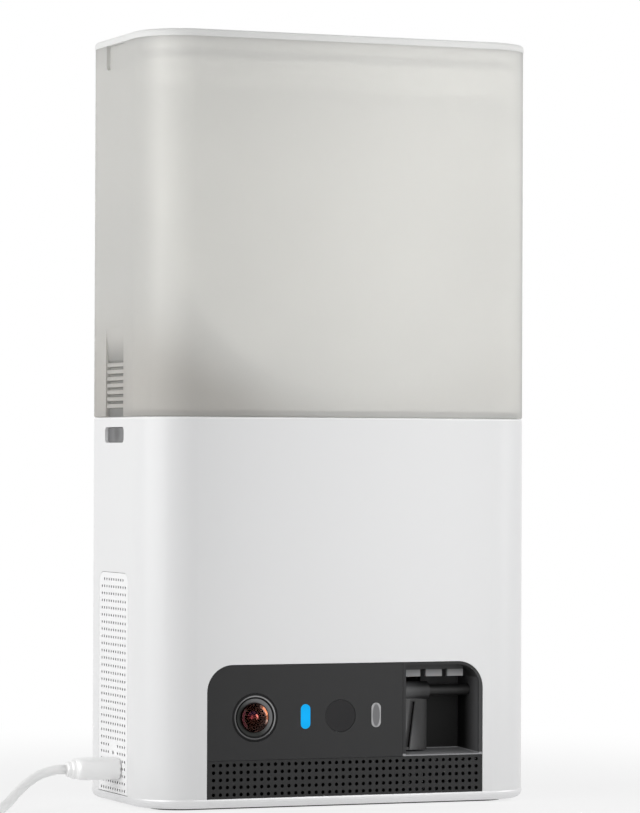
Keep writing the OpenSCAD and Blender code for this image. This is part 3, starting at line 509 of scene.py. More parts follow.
class TREATCAM_OT_power_lead(Operator):
    """Makes the lead, its tie and the plug on its far end"""

    bl_idname = "treatcam.power_lead"
    bl_label = "Power lead"

    def execute(self, context):
        lead = context.scene.treatcam.lead
        path, centre, outer, top = lead_path(lead)
        ahead = directions(path)
        side = np.cross(ahead, UP)
        side /= np.linalg.norm(side, axis=1, keepdims=True)
        cord = swept("lead", path, side, np.cross(side, ahead), circle(lead.diameter / 2, 14))
        jacket = lead_finish(lead.tint)
        wear(cord, jacket, "base", "lead_white", "power_cord", "cord_coil", "cord_tail")
        plug = moulded("plug_body", lead.tint, 0.4, 0.35, Metallic=0.3)
        near, far = self.near_plug(plug), self.far_plug(plug)
        tie = self.tie(lead, centre, outer, top)
        return {"FINISHED"}

    def near_plug(self, plug):
        """The moulded plug in the side: a body with rounded ends, a collar and its tongue."""
        socket_face = (-0.074, PLUG_END[1], PLUG_END[2])
        body = lofted("side_plug_body", socket_face, math.pi, [
            (0.05, 5.2, 3.0, 2.4), (0.15, 5.6, 3.4, 2.8), (0.45, 5.9, 3.7, 2.95), (0.9, 6.0, 3.8, 3.0),
            (7.5, 6.0, 3.8, 3.0), (13.0, 5.95, 3.76, 3.0), (14.4, 5.8, 3.66, 2.95),
            (15.2, 5.5, 3.4, 2.8), (15.6, 5.0, 3.0, 2.6), (15.7, 4.4, 2.6, 2.3),
        ], sharp=60)
        collar = lofted("side_plug_collar", (-0.0896, PLUG_END[1], PLUG_END[2]), math.pi, [
            (s, r, r, r * 0.999) for s, r in [
                (0.0, 3.45), (0.9, 3.3), (1.4, 3.05), (1.5, 2.8), (1.9, 2.75), (2.6, 2.6), (2.95, 2.35),
                (3.1, 1.72)]
        ], sharp=60)
        steel = machined("plug_steel", (0.66, 0.66, 0.67), 0.25, (900, 60, 900))
        tongue = lofted("side_plug_tongue", socket_face, 0.0, [
            (0.05, 4.4, 1.5, 1.48), (7.2, 4.4, 1.5, 1.48), (7.5, 4.2, 1.3, 1.28), (7.6, 3.9, 1.0, 0.98),
        ])
        for piece, finish in ((body, plug), (collar, plug), (tongue, steel)):
            wear(piece, finish, "base", "plug_white", "usb_c_plug")
        return body, collar, tongue

    def far_plug(self, plug):
        """The flat plug on the far end: moulded body with a ribbed neck, folded shell, contacts."""
        body = lofted("far_plug_body", FAR_PLUG, FAR_HEADING, [
            (0.0, 2.6, 2.0, 1.6), (0.2, 3.4, 2.5, 2.0), (0.9, 3.4, 2.5, 2.0), (1.1, 2.9, 2.2, 1.8),
            (1.5, 2.9, 2.2, 1.8), (1.7, 4.0, 2.7, 2.2), (2.4, 4.0, 2.7, 2.2), (2.9, 5.2, 3.0, 2.0),
            (3.3, 7.0, 3.5, 1.7), (3.9, 7.6, 3.75, 1.8), (5.0, 7.8, 3.8, 1.8), (12, 7.75, 3.75, 1.8),
            (18.6, 7.8, 3.8, 1.8), (19.5, 7.6, 3.65, 1.7), (20.0, 7.0, 3.2, 1.4),
        ], sharp=60)
        steel = machined("shell_steel", (0.68, 0.68, 0.69), 0.24, (60, 900, 900))
        shell = lofted("far_plug_shell", FAR_PLUG, FAR_HEADING, [
            (20.0, 5.9, 2.2, 0.5), (20.1, 6.0, 2.25, 0.5), (31.9, 6.0, 2.25, 0.5),
            (32.0, 5.85, 2.1, 0.4), (31.9, 5.7, 1.95, 0.3), (21.2, 5.7, 1.95, 0.3),
        ])
        tongue = lofted("far_plug_tongue", FAR_PLUG + 0.95 * MM * UP, FAR_HEADING, [
            (21.1, 5.65, 0.95, 0.1), (31.3, 5.65, 0.95, 0.1), (31.6, 5.5, 0.8, 0.1),
        ])
        bar = Finish("contact_bar", IOR=1.5)
        along = bar.axis("X") * -math.sin(FAR_HEADING) + bar.axis("Y") * math.cos(FAR_HEADING)
        folded = bar.node("Math", {"operation": "PINGPONG"}, {0: along, 1: 0.00125})
        strips = bar.step(folded, 0.0004, 0.00055)
        bar.set(
            Base_Color=bar.between((0.85, 0.62, 0.25), (0.8, 0.8, 0.79), strips),
            Metallic=1 - strips,
            Roughness=0.32 + 0.1 * bar.noise(1500),
        )
        for piece, finish, slot in (
            (body, plug, "plug_white"), (shell, steel, "steel"), (tongue, bar, "plug_white")
        ):
            wear(piece, finish, "base", slot, "usb_a_plug")
        return body, shell, tongue

    def tie(self, lead, centre, outer, top):
        """A woven strap: a flat rounded section carried round the bundle, a rounded rectangle in
        the plane through the coil's axis."""
        pitch = lead.diameter + TURN_GAP
        clear, wall = 0.0002, 0.0003
        inner = outer - lead.loops * pitch - lead.diameter / 2 - clear
        low, high = wall, top + lead.diameter / 2 + 0.0005
        half_w = (outer + lead.diameter / 2 + clear - inner) / 2 + wall
        loop = rounded(half_w, (high - low) / 2, 0.0011, 8)
        ray = np.array([math.cos(LEAD_HEADING), math.sin(LEAD_HEADING), 0.0])
        middle = np.array([centre[0], centre[1], (high + low) / 2]) + ray * (inner + half_w - wall)
        path = middle + loop[:, :1] * ray + loop[:, 1:] * UP
        side = np.broadcast_to([-ray[1], ray[0], 0.0], path.shape)
        out = np.cross(side, round_directions(path))
        strap = swept("lead_tie", path, side, out, rounded(0.0035, wall, 0.00028, 3), closed=True)
        weave = Finish("tie_webbing", Sheen_Weight=0.4, Sheen_Roughness=0.5)
        yarn = {"Vector": weave.place, "Scale": 420.0, "Distortion": 1.2, "Detail": 1.0}
        threads = weave.node("TexWave", {"bands_direction": "DIAGONAL"}, yarn)
        loops = weave.cells(2600)
        weave.set(
            Base_Color=weave.between(
                (0.07, 0.07, 0.075), (0.2, 0.2, 0.21), threads * 0.6 + loops * 0.4
            ),
            Roughness=0.8 + 0.15 * threads,
            Normal=weave.bump(threads * 0.5 + loops, 0.00012, 0.9),
        )
        wear(strap, weave, "base", "tie_grey", "cord_tie")
        return strap


# ---- housing


class TREATCAM_OT_housing(Operator):
    """Finishes the lower housing, the foot and the side panel"""

    bl_idname = "treatcam.housing"
    bl_label = "Housing"

    def execute(self, context):
        body = context.scene.treatcam.body
        varnish = {"Coat_Weight": 0.12, "Coat_Roughness": 0.2}
        shell = moulded("shell_satin", body.shell, 0.36, 0.3, 0.008, **varnish)
        # Painted highlight: a lighter band along the shell's top edge at the seam.
        painted_seam_highlight = shell.step(shell.axis("Z"), 0.1362, 0.1368)
        shell.set(Base_Color=shell.between(body.shell, shade(body.shell, 1.2), painted_seam_highlight))
        dress(shell, "lower_shell")
        white = shade(body.shell, 1.14)
        vent = moulded("vent_white", white, 0.4, 0.3, 0.008)
        # Painted shade: the inside of each vent hole is coloured near black.
        vent_hole_painted_shade = vent.step(vent.axis("X"), -0.07392, -0.07375)
        vent.set(Base_Color=vent.between(white, (0.01, 0.01, 0.0105), vent_hole_painted_shade))
        dress(vent, "side_vent")
        foot = Finish("foot_silver", Metallic=0.55, Coat_Weight=0.15, Coat_Roughness=0.3)
        flake = foot.cells(5200)
        cloud = foot.noise(70, 3, 0.6)
        foot.set(
            Base_Color=foot.between(
                shade(body.foot, 0.92), shade(body.foot, 1.05), flake * 0.6 + cloud * 0.5
            ),
            Roughness=0.36 + 0.12 * cloud,
            Normal=foot.bump(flake, 0.00002, 0.35),
        )
        dress(foot, "base_plate")
        pad = Finish("foot_pad", IOR=1.5)
        pips = pad.cells(620, "CHEBYCHEV", 0.0)
        dust = pad.noise(140, 4, 0.65)
        pad.set(
            Base_Color=pad.between(
                (0.035, 0.035, 0.037), (0.09, 0.088, 0.083), pad.step(dust, 0.4, 0.8)
            ),
            Roughness=0.72 + 0.2 * dust,
            Normal=pad.bump(pad.step(pips, 0.2, 0.45), 0.0002, 0.9),
        )
        dress(pad, "base_pad")
        ballast = machined("ballast_steel", (0.42, 0.42, 0.43), 0.42, (200, 200, 20), 0.35)
        dress(ballast, "ballast_plate")
        dress(machined("screw_plating", (0.4, 0.4, 0.42), 0.26, (600, 600, 600)), "base_screws")
        dress(moulded("deck_plastic", (0.6, 0.6, 0.605), 0.5, 0.5), "top_deck")
        return {"FINISHED"}


class TREATCAM_OT_container(Operator):
    """Finishes the treat container, its hopper, feed wheel and lid"""

    bl_idname = "treatcam.container"
    bl_label = "Treat container"

    def execute(self, context):
        body = context.scene.treatcam.body
        dress(self.smoky(body.container), "treat_container", "container_collar", "latch_catches")
        dress(self.translucent("lid_milky", body.lid, 0.22, 0.45), "lid")
        dress(self.translucent("hopper_milky", (0.74, 0.735, 0.72), 0.45, 0.5), "hopper_trough")
        dress(moulded("wheel_rubber", (0.36, 0.4, 0.44), 0.62, 0.7, 0.05), "feed_rotor")
        return {"FINISHED"}

    def smoky(self, tint):
        """The container, with painted shade where its sides are seen edge on, below the hopper's
        round bottom and in the recessed part of its grips."""
        finish = self.translucent("container_smoke", tint, 0.48, 0.62)
        across, back, height = finish.axis("X"), finish.axis("Y"), finish.axis("Z")
        wide = (across * across) ** 0.5
        # Painted shade: the walls are coloured darker below the hopper's round bottom, more on the left
        # than on the right.
        low = 1 - finish.step(height, 0.142, 0.188)
        outside = finish.step(finish.from_axis("X", "Z", (0.0, HOPPER_AXIS_Z)), 0.066, 0.092)
        below = outside * low * finish.step(across, -0.05, 0.06, 1.0, 0.2)
        cloud = finish.noise(30, 3, 0.6)
        tone = finish.between(shade(tint, 0.985), shade(tint, 1.015), cloud)
        # Painted shade: the side walls, seen edge on, are coloured darker.
        tone = finish.between(tone, shade(tint, 0.82), finish.step(wide, 0.068, 0.0735))
        # Painted shade below the hopper.
        tone = finish.between(tone, (tint[0] * 0.76, tint[1] * 0.745, tint[2] * 0.73), below)
        grip_width = 1 - finish.step((back * back) ** 0.5, 0.0094, 0.0097)
        grip = grip_width * (1 - finish.step(height, 0.1683, 0.1686))
        # Painted shade: the recessed part of each grip is coloured darker.
        grip_recess_painted_shade = finish.step(wide, 0.0727, 0.0738, 1.0, 0.0) * finish.step(wide, 0.0722, 0.0723) * grip
        return finish.set(Base_Color=finish.between(tone, shade(tint, 0.42), grip_recess_painted_shade))

    def translucent(self, name, tint, clear, roughness):
        """Smoky plastic: part of the light goes on through, spread by its rough faces. A shadow
        ray passes part of it straight on, so that what stands inside is lit."""
        finish = Finish(name, IOR=1.3, Transmission_Weight=clear)
        cloud = finish.noise(30, 3, 0.6)
        fine = finish.noise(3200, 2, 0.6)
        shadow = finish.node("LightPath", output="Is Shadow Ray")
        return finish.set(
            Base_Color=finish.between(shade(tint, 0.985), shade(tint, 1.015), cloud),
            Roughness=roughness + 0.04 * cloud,
            Alpha=1 - shadow * clear,
            Normal=finish.bump(fine, 0.00002, 0.25),
        )


# ---- front panel


class TREATCAM_OT_front_panel(Operator):
    """Finishes the dark panel, its lights, sensor window and speaker"""

    bl_idname = "treatcam.front_panel"
    bl_label = "Front panel"

    def execute(self, context):
        body = context.scene.treatcam.body
        matt = (body.panel, 0.52, 0.9, 0.05)
        dress(moulded("panel_matt", *matt, Specular_IOR_Level=0.32), "front_fascia")
        grille = moulded("grille_matt", *matt, Specular_IOR_Level=0.32)
        # Painted shade: the grille's holes are coloured near black behind its front face.
        depth = grille.step(grille.axis("Y"), PANEL_FRONT + 0.03 * MM, PANEL_FRONT + 0.2 * MM)
        grille.set(Base_Color=grille.between(shade(body.panel, 0.85), (0.0005,) * 3, depth))
        dress(grille, "speaker_grille")
        window = Finish("infrared_window", IOR=1.49, Specular_IOR_Level=0.2)
        haze = window.noise(220, 3, 0.6)
        window.set(
            Base_Color=window.between((0.009, 0.009, 0.010), (0.013, 0.012, 0.013), haze),
            Roughness=0.3 + 0.08 * haze,
        )
        dress(window, "sensor_window")
        lamp = Finish("status_lit", Roughness=0.35, Specular_IOR_Level=0.08, Emission_Strength=1.0)
        rim = lamp.step(lamp.from_axis("X", "Z", (STATUS_X, EYE_HEIGHT)), 0.0, 0.0052)
        glow = lamp.between(body.status, shade(body.status, 0.9), rim)
        lamp.set(Base_Color=(0.0, 0.02, 0.05), Emission_Color=glow)
        dress(lamp, "status_light")
        frosted = Finish("frosted_pipe", IOR=1.5, Coat_Weight=0.2)
        across, height = frosted.axis("X") - INFRARED_X, frosted.axis("Z") - EYE_HEIGHT
        inside = frosted.step(across * across * 1.9 + height * height * 0.24, 0.0000028, 0.0000048)
        speck = frosted.noise(2600, 2, 0.6)
        frosted.set(
            Base_Color=frosted.between((0.14, 0.14, 0.145), (0.42, 0.42, 0.425), inside),
            Roughness=0.4 + 0.1 * speck,
            Normal=frosted.bump(speck, 0.00003, 0.4),
        )
        dress(frosted, "infrared_light")
        cone = Finish("speaker_cone")
        felt = cone.noise(2400, 3, 0.7)
        cone.set(
            Base_Color=cone.between((0.008, 0.008, 0.009), (0.022, 0.022, 0.023), felt),
            Roughness=0.75 + 0.2 * felt,
            Normal=cone.bump(felt, 0.08 * MM, 0.8),
        )
        dress(cone, "speaker_driver")
        return {"FINISHED"}


class TREATCAM_OT_lens(Operator):
    """Makes the lens: its glass, the elements and rings behind it, and finishes its ring"""

    bl_idname = "treatcam.lens"
    bl_label = "Lens"

    def execute(self, context):
        lens = context.scene.treatcam.lens
        radius, reach = lens.dome_radius / MM, lens.dome_reach / MM
        outer = arc(radius, radius - 1.58, 0, reach, 24)
        inner = arc(8.2, 7.6, 4.6, 0, 20)
        glass = turned("lens_glass", [*outer, (reach, 0.9), (4.6, 0.9), *inner])
        wear(glass, self.coated(lens.coating), "base", "lens_glass", "camera_lens")
        second = turned("lens_second_glass", [*arc(3.6, 3.9, 0, 3.0, 20), (3.0, 3.5), (0.0, 3.5)])
        wear(second, self.second_glass_painted_reflections(), "base", "lens_glass")
        seat = turned("lens_retainer", [
            (3.02, 3.5), (3.02, 2.1), (3.25, 1.85), (3.45, 1.95), (3.65, 1.7), (3.85, 1.8), (4.05, 1.55),
            (4.25, 1.65), (4.45, 1.4), (4.65, 1.45), (4.88, 1.2), (4.88, 3.5), (3.02, 3.5),
        ])
        sleeve = turned("lens_sleeve", [
            (4.92, 3.5), (4.92, -0.3), (4.95, -0.36), (5.0, -0.38), (5.05, -0.36), (5.08, -0.3),
            (5.08, 3.5), (4.92, 3.5),
        ])
        threads = self.retainer_finish()
        for piece in (seat, sleeve):
            wear(piece, threads, "base", "barrel_black")
        bezel = turned("lens_ring", [
            (8.4, 3.6), (8.4, 0.1), (8.32, 0.02), (8.2, 0.0), (7.8, 0.0), (7.72, -0.03), (7.66, -0.1),
            (7.56, -0.17), (7.44, -0.195), (7.32, -0.17), (7.22, -0.1), (7.16, 0.02), (7.13, 0.45),
            (6.72, 0.5), (6.66, 0.3), (6.58, 0.24), (6.4, 0.26), (5.5, 0.42), (5.3, 0.46), (5.16, 0.52),
            (5.12, 0.6), (5.12, 3.6), (8.4, 3.6),
        ])
        wear(bezel, self.ring_finish(), "base", "bezel_grey", "camera_bezel")
        dress(moulded("barrel_black", (0.012, 0.012, 0.013), 0.5, 0.8), "camera_barrel")
        return {"FINISHED"}

    def lobe(self, finish, angle, spread, soft=0.5):
        """1 in the sector round that angle, where the distance along it is more than the cosine
        of the spread times the radius. Its edge is soft over that many mm."""
        turn = math.radians(angle)
        across, up = finish.axis("X") - LENS_CENTRE[0], finish.axis("Z") - LENS_CENTRE[1]
        ahead = across * math.cos(turn) + up * math.sin(turn)
        out = finish.from_axis("X", "Z", LENS_CENTRE)
        return finish.step(ahead - out * math.cos(math.radians(spread)), -soft * MM, soft * MM)

    def band(self, finish, low, high, soft):
        """1 between two radii of the lens, in mm."""
        out = finish.from_axis("X", "Z", LENS_CENTRE)
        inner = finish.step(out, (low - soft) * MM, (low + soft) * MM)
        return inner * (1 - finish.step(out, (high - soft) * MM, (high + soft) * MM))

    def coated(self, coating):
        """Clear outer glass with a tinted reflection, on which warm reflection arcs near the rim and a
        pale glint are painted.
        """
        tint = (0.26, 0.12, 0.09)
        finish = Finish("outer_glass_painted_reflections", IOR=1.45, Specular_Tint=tint, Transmission_Weight=1.0)
        smear = finish.noise(400, 3, 0.6)
        # Painted reflections: a warm arc near the rim on the right and a faint pink one on the left,
        # also made partly metallic.
        right = self.band(finish, 3.9, 4.85, 0.3) * self.lobe(finish, 18, 44, 0.6)
        left = self.band(finish, 4.2, 4.9, 0.3) * self.lobe(finish, 186, 40, 0.6)
        # Painted glint: a pale spot low on the right of the glass.
        spot = (LENS_CENTRE[0] + 4.2 * MM, LENS_CENTRE[1] - 1.3 * MM)
        glint = 1 - finish.step(finish.from_axis("X", "Z", spot), 0.2 * MM, 0.9 * MM)
        tone = finish.between(coating, (0.98, 0.7, 0.58), glint)
        tone = finish.between((0.75, 0.52, 0.48), tone, right)
        return finish.set(
            Base_Color=finish.between(tone, (0.4, 0.07, 0.12), left),
            Metallic=right * 0.5 + left * 0.16,
            Roughness=0.006 * smear,
        )

    def second_glass_painted_reflections(self):
        """Deep red inner glass with painted reflections: lighter above, near black below, violet above
        the centre, and two pale arcs round the dark pupil.
        """
        finish = Finish("second_glass_painted_reflections", Metallic=1.0)
        up = finish.axis("Z") - LENS_CENTRE[1]
        # Painted reflection: the upper half is coloured lighter than the lower half, which is near
        # black.
        painted_upper_reflection = finish.step(up, -1.1 * MM, 0.3 * MM)
        tone = finish.between((0.006, 0.003, 0.002), (0.055, 0.012, 0.02), painted_upper_reflection)
        # Painted reflection: a violet band above the centre.
        violet = self.band(finish, 0.9, 2.3, 0.5) * finish.step(up, 0.4 * MM, 1.4 * MM)
        tone = finish.between(tone, (0.02, 0.016, 0.07), violet)
        # Painted reflections: two pale arcs round the dark pupil.
        pupil = self.band(finish, 0.75, 1.35, 0.2)
        tone = finish.between(tone, (0.8, 0.42, 0.4), pupil * self.lobe(finish, 20, 48, 0.15))
        tone = finish.between(tone, (0.5, 0.18, 0.24), pupil * self.lobe(finish, 175, 34, 0.15))
        return finish.set(Base_Color=tone, Roughness=0.03 + 0.02 * finish.noise(900))

    def retainer_finish(self):
        """Blackened threads with a painted dark red tint that stands for the red glass reflected in
        them.
        """
        finish = Finish("retainer_red", Metallic=1.0)
        turning = finish.noise(5, 2, at=finish.stretched((700, 700, 700)))
        return finish.set(
            # Painted reflection: the dark red tint of the threads.
            Base_Color=finish.between((0.009, 0.003, 0.003), (0.026, 0.008, 0.006), turning),
            Roughness=0.1 + 0.06 * turning,
        )

    def ring_finish(self):
        """Anodised ring: polished crest and satin dish with painted light on their upper right, painted
        shade in the groove and round the glass, and a near-black outer edge.
        """
        finish = Finish("bezel_anodised", Specular_IOR_Level=0.12)
        crest = self.band(finish, 7.18, 7.68, 0.04)
        dish = self.band(finish, 5.2, 6.58, 0.05)
        rim = finish.step(finish.from_axis("X", "Z", LENS_CENTRE), 7.72 * MM, 7.8 * MM)
        lathe = finish.noise(2200, 2)
        # Painted light: the crest and dish are coloured lighter towards their upper right.
        painted_light_lobe = self.lobe(finish, 40, 80, 4)
        tone = finish.between((0.028, 0.03, 0.028), (0.19, 0.19, 0.192), painted_light_lobe)
        # Painted shade: the groove and the wall round the glass are coloured near black.
        tone = finish.between((0.006, 0.006, 0.0065), tone, dish)
        bright = finish.between((0.11, 0.11, 0.111), (0.27, 0.27, 0.272), painted_light_lobe)
        tone = finish.between(tone, bright, crest)
        return finish.set(
            Base_Color=finish.between(tone, (0.01, 0.01, 0.0105), rim),
            Metallic=crest * 0.4 + dish * 0.3,
            Roughness=0.34 + 0.1 * lathe,
            Normal=finish.bump(lathe, 0.00002, 0.5),
        )


class TREATCAM_OT_chute(Operator):
    """Finishes the treat chute, its comb and the paddle"""

    bl_idname = "treatcam.chute"
    bl_label = "Chute"

    def execute(self, context):
        body = context.scene.treatcam.body
        dress(self.lining(body.panel), "chute_frame")
        comb = Finish("comb_silicone", Subsurface_Weight=0.1, Subsurface_Scale=MM)
        height = comb.axis("Z")
        # Painted shade: the teeth are coloured darker towards their top.
        tooth = comb.between((0.29, 0.29, 0.295), (0.15, 0.15, 0.153), comb.step(height, 0.0452, 0.048))
        # Painted shadow of the lintel: the roots of the teeth are coloured near black.
        painted_lintel_shadow = comb.step(height, 0.0474, 0.0478)
        bloom = comb.noise(800, 3)
        comb.set(
            Base_Color=comb.between(tooth, (0.012, 0.012, 0.0125), painted_lintel_shadow),
            Roughness=0.5 + 0.15 * bloom,
            Normal=comb.bump(bloom, 0.00004, 0.4),
        )
        dress(comb, "comb_flap")
        dress(self.paddle_finish(), "launch_paddle")
        dress(moulded("duct_natural", (0.55, 0.55, 0.555), 0.5, 0.5), "drop_shaft")
        return {"FINISHED"}

    def lining(self, panel):
        """Matt lining, plain at the mouth, with painted shade far inside and painted light in the duct,
        on its right wall, floor and lip and in a band at the height of the paddle's axis."""
        finish = moulded("chute_dark", panel, 0.55, 0.7, 0.05, Specular_IOR_Level=0.25)
        across, back, height = finish.axis("X"), finish.axis("Y"), finish.axis("Z")
        # Painted shade: the lining is coloured darker far inside.
        painted_depth_shade = finish.step(back, -0.0365, -0.0235)
        # Painted highlight: a lighter band at the height of the paddle's axis.
        painted_beam_highlight = finish.step(height, 0.0395, 0.0425) * finish.step(back, -0.03, -0.028)
        # Masks for painted light on the lip and on the right wall.
        lip = finish.step(across, 0.0488, 0.0499) * (1 - finish.step(back, -0.0362, -0.034))
        right = finish.step(across, 0.0503, 0.0506) * finish.step(back, -0.0366, -0.0364)
        tone = finish.between(shade(panel, 1.5), shade(panel, 0.14), painted_depth_shade)
        # Painted light: lighter colour on the band, in the duct, on the lip, on the right wall near the
        # mouth and on the floor.
        for brighter, where in (
            (1.9, painted_beam_highlight),
            (9, finish.step(back, -0.0165, -0.016)),
            (2.6, lip),
            (5, right * (1 - painted_depth_shade)),
            (15, 1 - finish.step(height - back * 0.038, 0.01955, 0.01975)),
        ):
            tone = finish.between(tone, shade(panel, brighter), where)
        return finish.set(Base_Color=tone)

    def paddle_finish(self):
        """Grey paddle with painted light on its lower left and on the left of its hub, painted shade on
        its right, and the dark line of its groove painted as shade.
        """
        finish = moulded("paddle_grey", (0.06, 0.061, 0.063), 0.38, 0.6, 0.05)
        across, height = finish.axis("X"), finish.axis("Z")
        left = 1 - finish.step(across, 0.0245, 0.0335)
        hub = finish.step(height, 0.0365, 0.0372)
        low = 1 - finish.step(height, 0.019, 0.034)
        # Painted light and shade: the blade is coloured lighter towards its bottom and darker on its
        # right.
        blade_painted_shading = finish.between((0.035, 0.035, 0.036), (0.21, 0.211, 0.214), low)
        blade_painted_shading = finish.between((0.014, 0.014, 0.0145), blade_painted_shading, left)
        # Painted highlight: the hub is coloured lighter on its left.
        hub_painted_highlight = finish.between((0.016, 0.016, 0.0165), (0.09, 0.091, 0.093), left)
        slope = math.tan(math.radians(7.4))
        lean = across - height * slope - (0.0279 - 0.028 * slope)
        # Painted shade: the groove is coloured near black.
        groove = (1 - finish.step((lean * lean) ** 0.5, 0.00105, 0.00111)) * (1 - hub)
        tone = finish.between(blade_painted_shading, hub_painted_highlight, hub)
        return finish.set(Base_Color=finish.between(tone, (0.008, 0.008, 0.0085), groove))


# ---- small parts


class TREATCAM_OT_controls(Operator):
    """Finishes the release buttons, the reset button and the socket"""

    bl_idname = "treatcam.controls"
    bl_label = "Buttons and socket"

    def execute(self, context):
        body = context.scene.treatcam.body
        press = moulded("button_grey", body.button, 0.34, 0.5, 0.04)
        # Painted shade: the middle of the dished face is coloured darker, its rim lighter.
        dish = press.step(press.from_axis("Y", "Z", (0.0005, 0.1314)), 0.0008, 0.0046)
        press.set(Base_Color=press.between(shade(body.button, 0.5), shade(body.button, 1.15), dish))
        dress(press, "release_button_left", "release_button_right")
        dress(moulded("switch_black", (0.02, 0.02, 0.022), 0.45, 0.5), "reset_button", "reset_switch")
        dress(machined("socket_steel", (0.62, 0.62, 0.64), 0.26, (60, 900, 900)), "usb_socket")
        return {"FINISHED"}


class TREATCAM_OT_springs(Operator):
    """Makes the paddle's spring and the release buttons' springs"""

    bl_idname = "treatcam.springs"
    bl_label = "Springs"

    def execute(self, context):
        wire = machined("spring_wire", (0.5, 0.5, 0.52), 0.24, (900, 900, 900))
        t = np.linspace(0, 1, 201)
        self.wound("paddle_spring", 0.0529 + 0.0055 * t, 10 * np.pi * t, 3.4, 0.4, PADDLE_AXIS, wire,
                   "launch_spring")
        t = np.linspace(0, 1, 241)
        rise = 0.0066 * (t - 0.2 * np.sin(2 * np.pi * t) / np.pi)
        for sign, side in ((-1, "left"), (1, "right")):
            node = f"button_spring_{side}"
            spring = self.wound(f"{node}_wire", sign * (SPRING_SEAT + rise), 14 * np.pi * t, 1.9, 0.25,
                                (0.0, BUTTON_SPRING_Z), wire, node)
            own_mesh(spring)
        return {"FINISHED"}

    def wound(self, name, along, turn, radius, thickness, centre, wire, node):
        """A wire along x(t), y0 + r cos a(t), z0 + r sin a(t), with a round section between the
        ray out from the axis and its cross product with its direction. The radii are in mm."""
        ray = np.stack([0 * turn, np.cos(turn), np.sin(turn)], 1)
        path = radius * MM * ray + [0, *centre]
        path[:, 0] = along
        section = circle(thickness * MM, 10)
        spring = swept(name, path, ray, np.cross(directions(path), ray), section)
        wear(spring, wire, "base", "spring_steel", node)
        return spring


class TREATCAM_OT_works(Operator):
    """Finishes the boards, motors, gears and shafts inside"""

    bl_idname = "treatcam.works"
    bl_label = "Works"

    def execute(self, context):
        board = Finish("solder_mask", IOR=1.5, Coat_Weight=0.4, Coat_Roughness=0.15)
        tracks = board.node("TexBrick", {"offset": 0.35}, {
            "Vector": board.place, "Color1": (0, 0, 0), "Color2": (0.15, 0.15, 0.15),
            "Mortar": (1, 1, 1), "Scale": 300.0, "Mortar Size": 0.06,
        })
        chips = 1 - board.step(board.axis("Y"), 0.02295, 0.02305)
        green = board.between((0.012, 0.085, 0.035), (0.03, 0.16, 0.07), tracks)
        board.set(
            Base_Color=board.between(green, (0.018, 0.018, 0.019), chips),
            Roughness=0.3 + 0.1 * board.noise(500),
            Normal=board.bump(tracks, 0.00004, 0.5),
        )
        dress(board, "main_board", "camera_board")
        dress(moulded("cover_black", (0.02, 0.02, 0.021), 0.5, 0.7), "motor_cover")
        dress(moulded("frame_grey", (0.14, 0.14, 0.145), 0.5, 0.7), "gear_plate", "launch_frame")
        can = machined("motor_can", (0.6, 0.6, 0.62), 0.3, (40, 900, 900))
        dress(can, "launch_motor", "feed_motor")
        blacked = machined("shaft_blacked", (0.012, 0.012, 0.012), 0.45, (900, 60, 60), Metallic=0.3)
        dress(blacked, "launch_shaft")
        brass = machined("pinion_brass", (0.74, 0.5, 0.2), 0.24, (500, 500, 500))
        dress(brass, "feed_pinion", "launch_pinion")
        soft = {"Subsurface_Weight": 0.1, "Subsurface_Scale": MM}
        nylon = moulded("gear_nylon", (0.74, 0.71, 0.62), 0.4, 0.4, 0.03, **soft)
        dress(nylon, "launch_gear", "drive_gear", "feed_gear", "feed_idler")
        return {"FINISHED"}


class TREATCAM_OT_seal(Operator):
    """Makes the lid's soft sealing lip"""

    bl_idname = "treatcam.seal"
    bl_label = "Lid seal"

    def execute(self, context):
        low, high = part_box("lid_seal")
        half_w, half_d = high[0], high[1]
        middle = (low[2] + high[2]) / 2
        corner = half_w - (0.074 - 0.018)
        loop = rounded(half_w - 0.3 * MM, half_d - 0.3 * MM, corner, 14)
        path = np.concatenate([loop, np.full((len(loop), 1), middle)], 1)
        out = np.cross(round_directions(path), UP)
        lip = MM * np.array([
            (0.0, -1.5), (0.12, -1.45), (0.28, -1.1), (0.12, -0.8), (0.12, -0.35), (0.3, 0.0),
            (0.12, 0.35), (0.12, 0.8), (0.28, 1.1), (0.12, 1.45), (0.0, 1.5), (0.0, 0.5), (0.0, -0.5),
        ])
        up = np.broadcast_to(UP, path.shape)
        seal = swept("lid_sealing_lip", path, out, up, lip, closed=True)
        rubber = moulded("seal_rubber", (0.3, 0.3, 0.305), 0.6, 0.6, 0.05)
        wear(seal, rubber, "lid", "seal_grey", "lid_seal")
        return {"FINISHED"}


# ---- studio


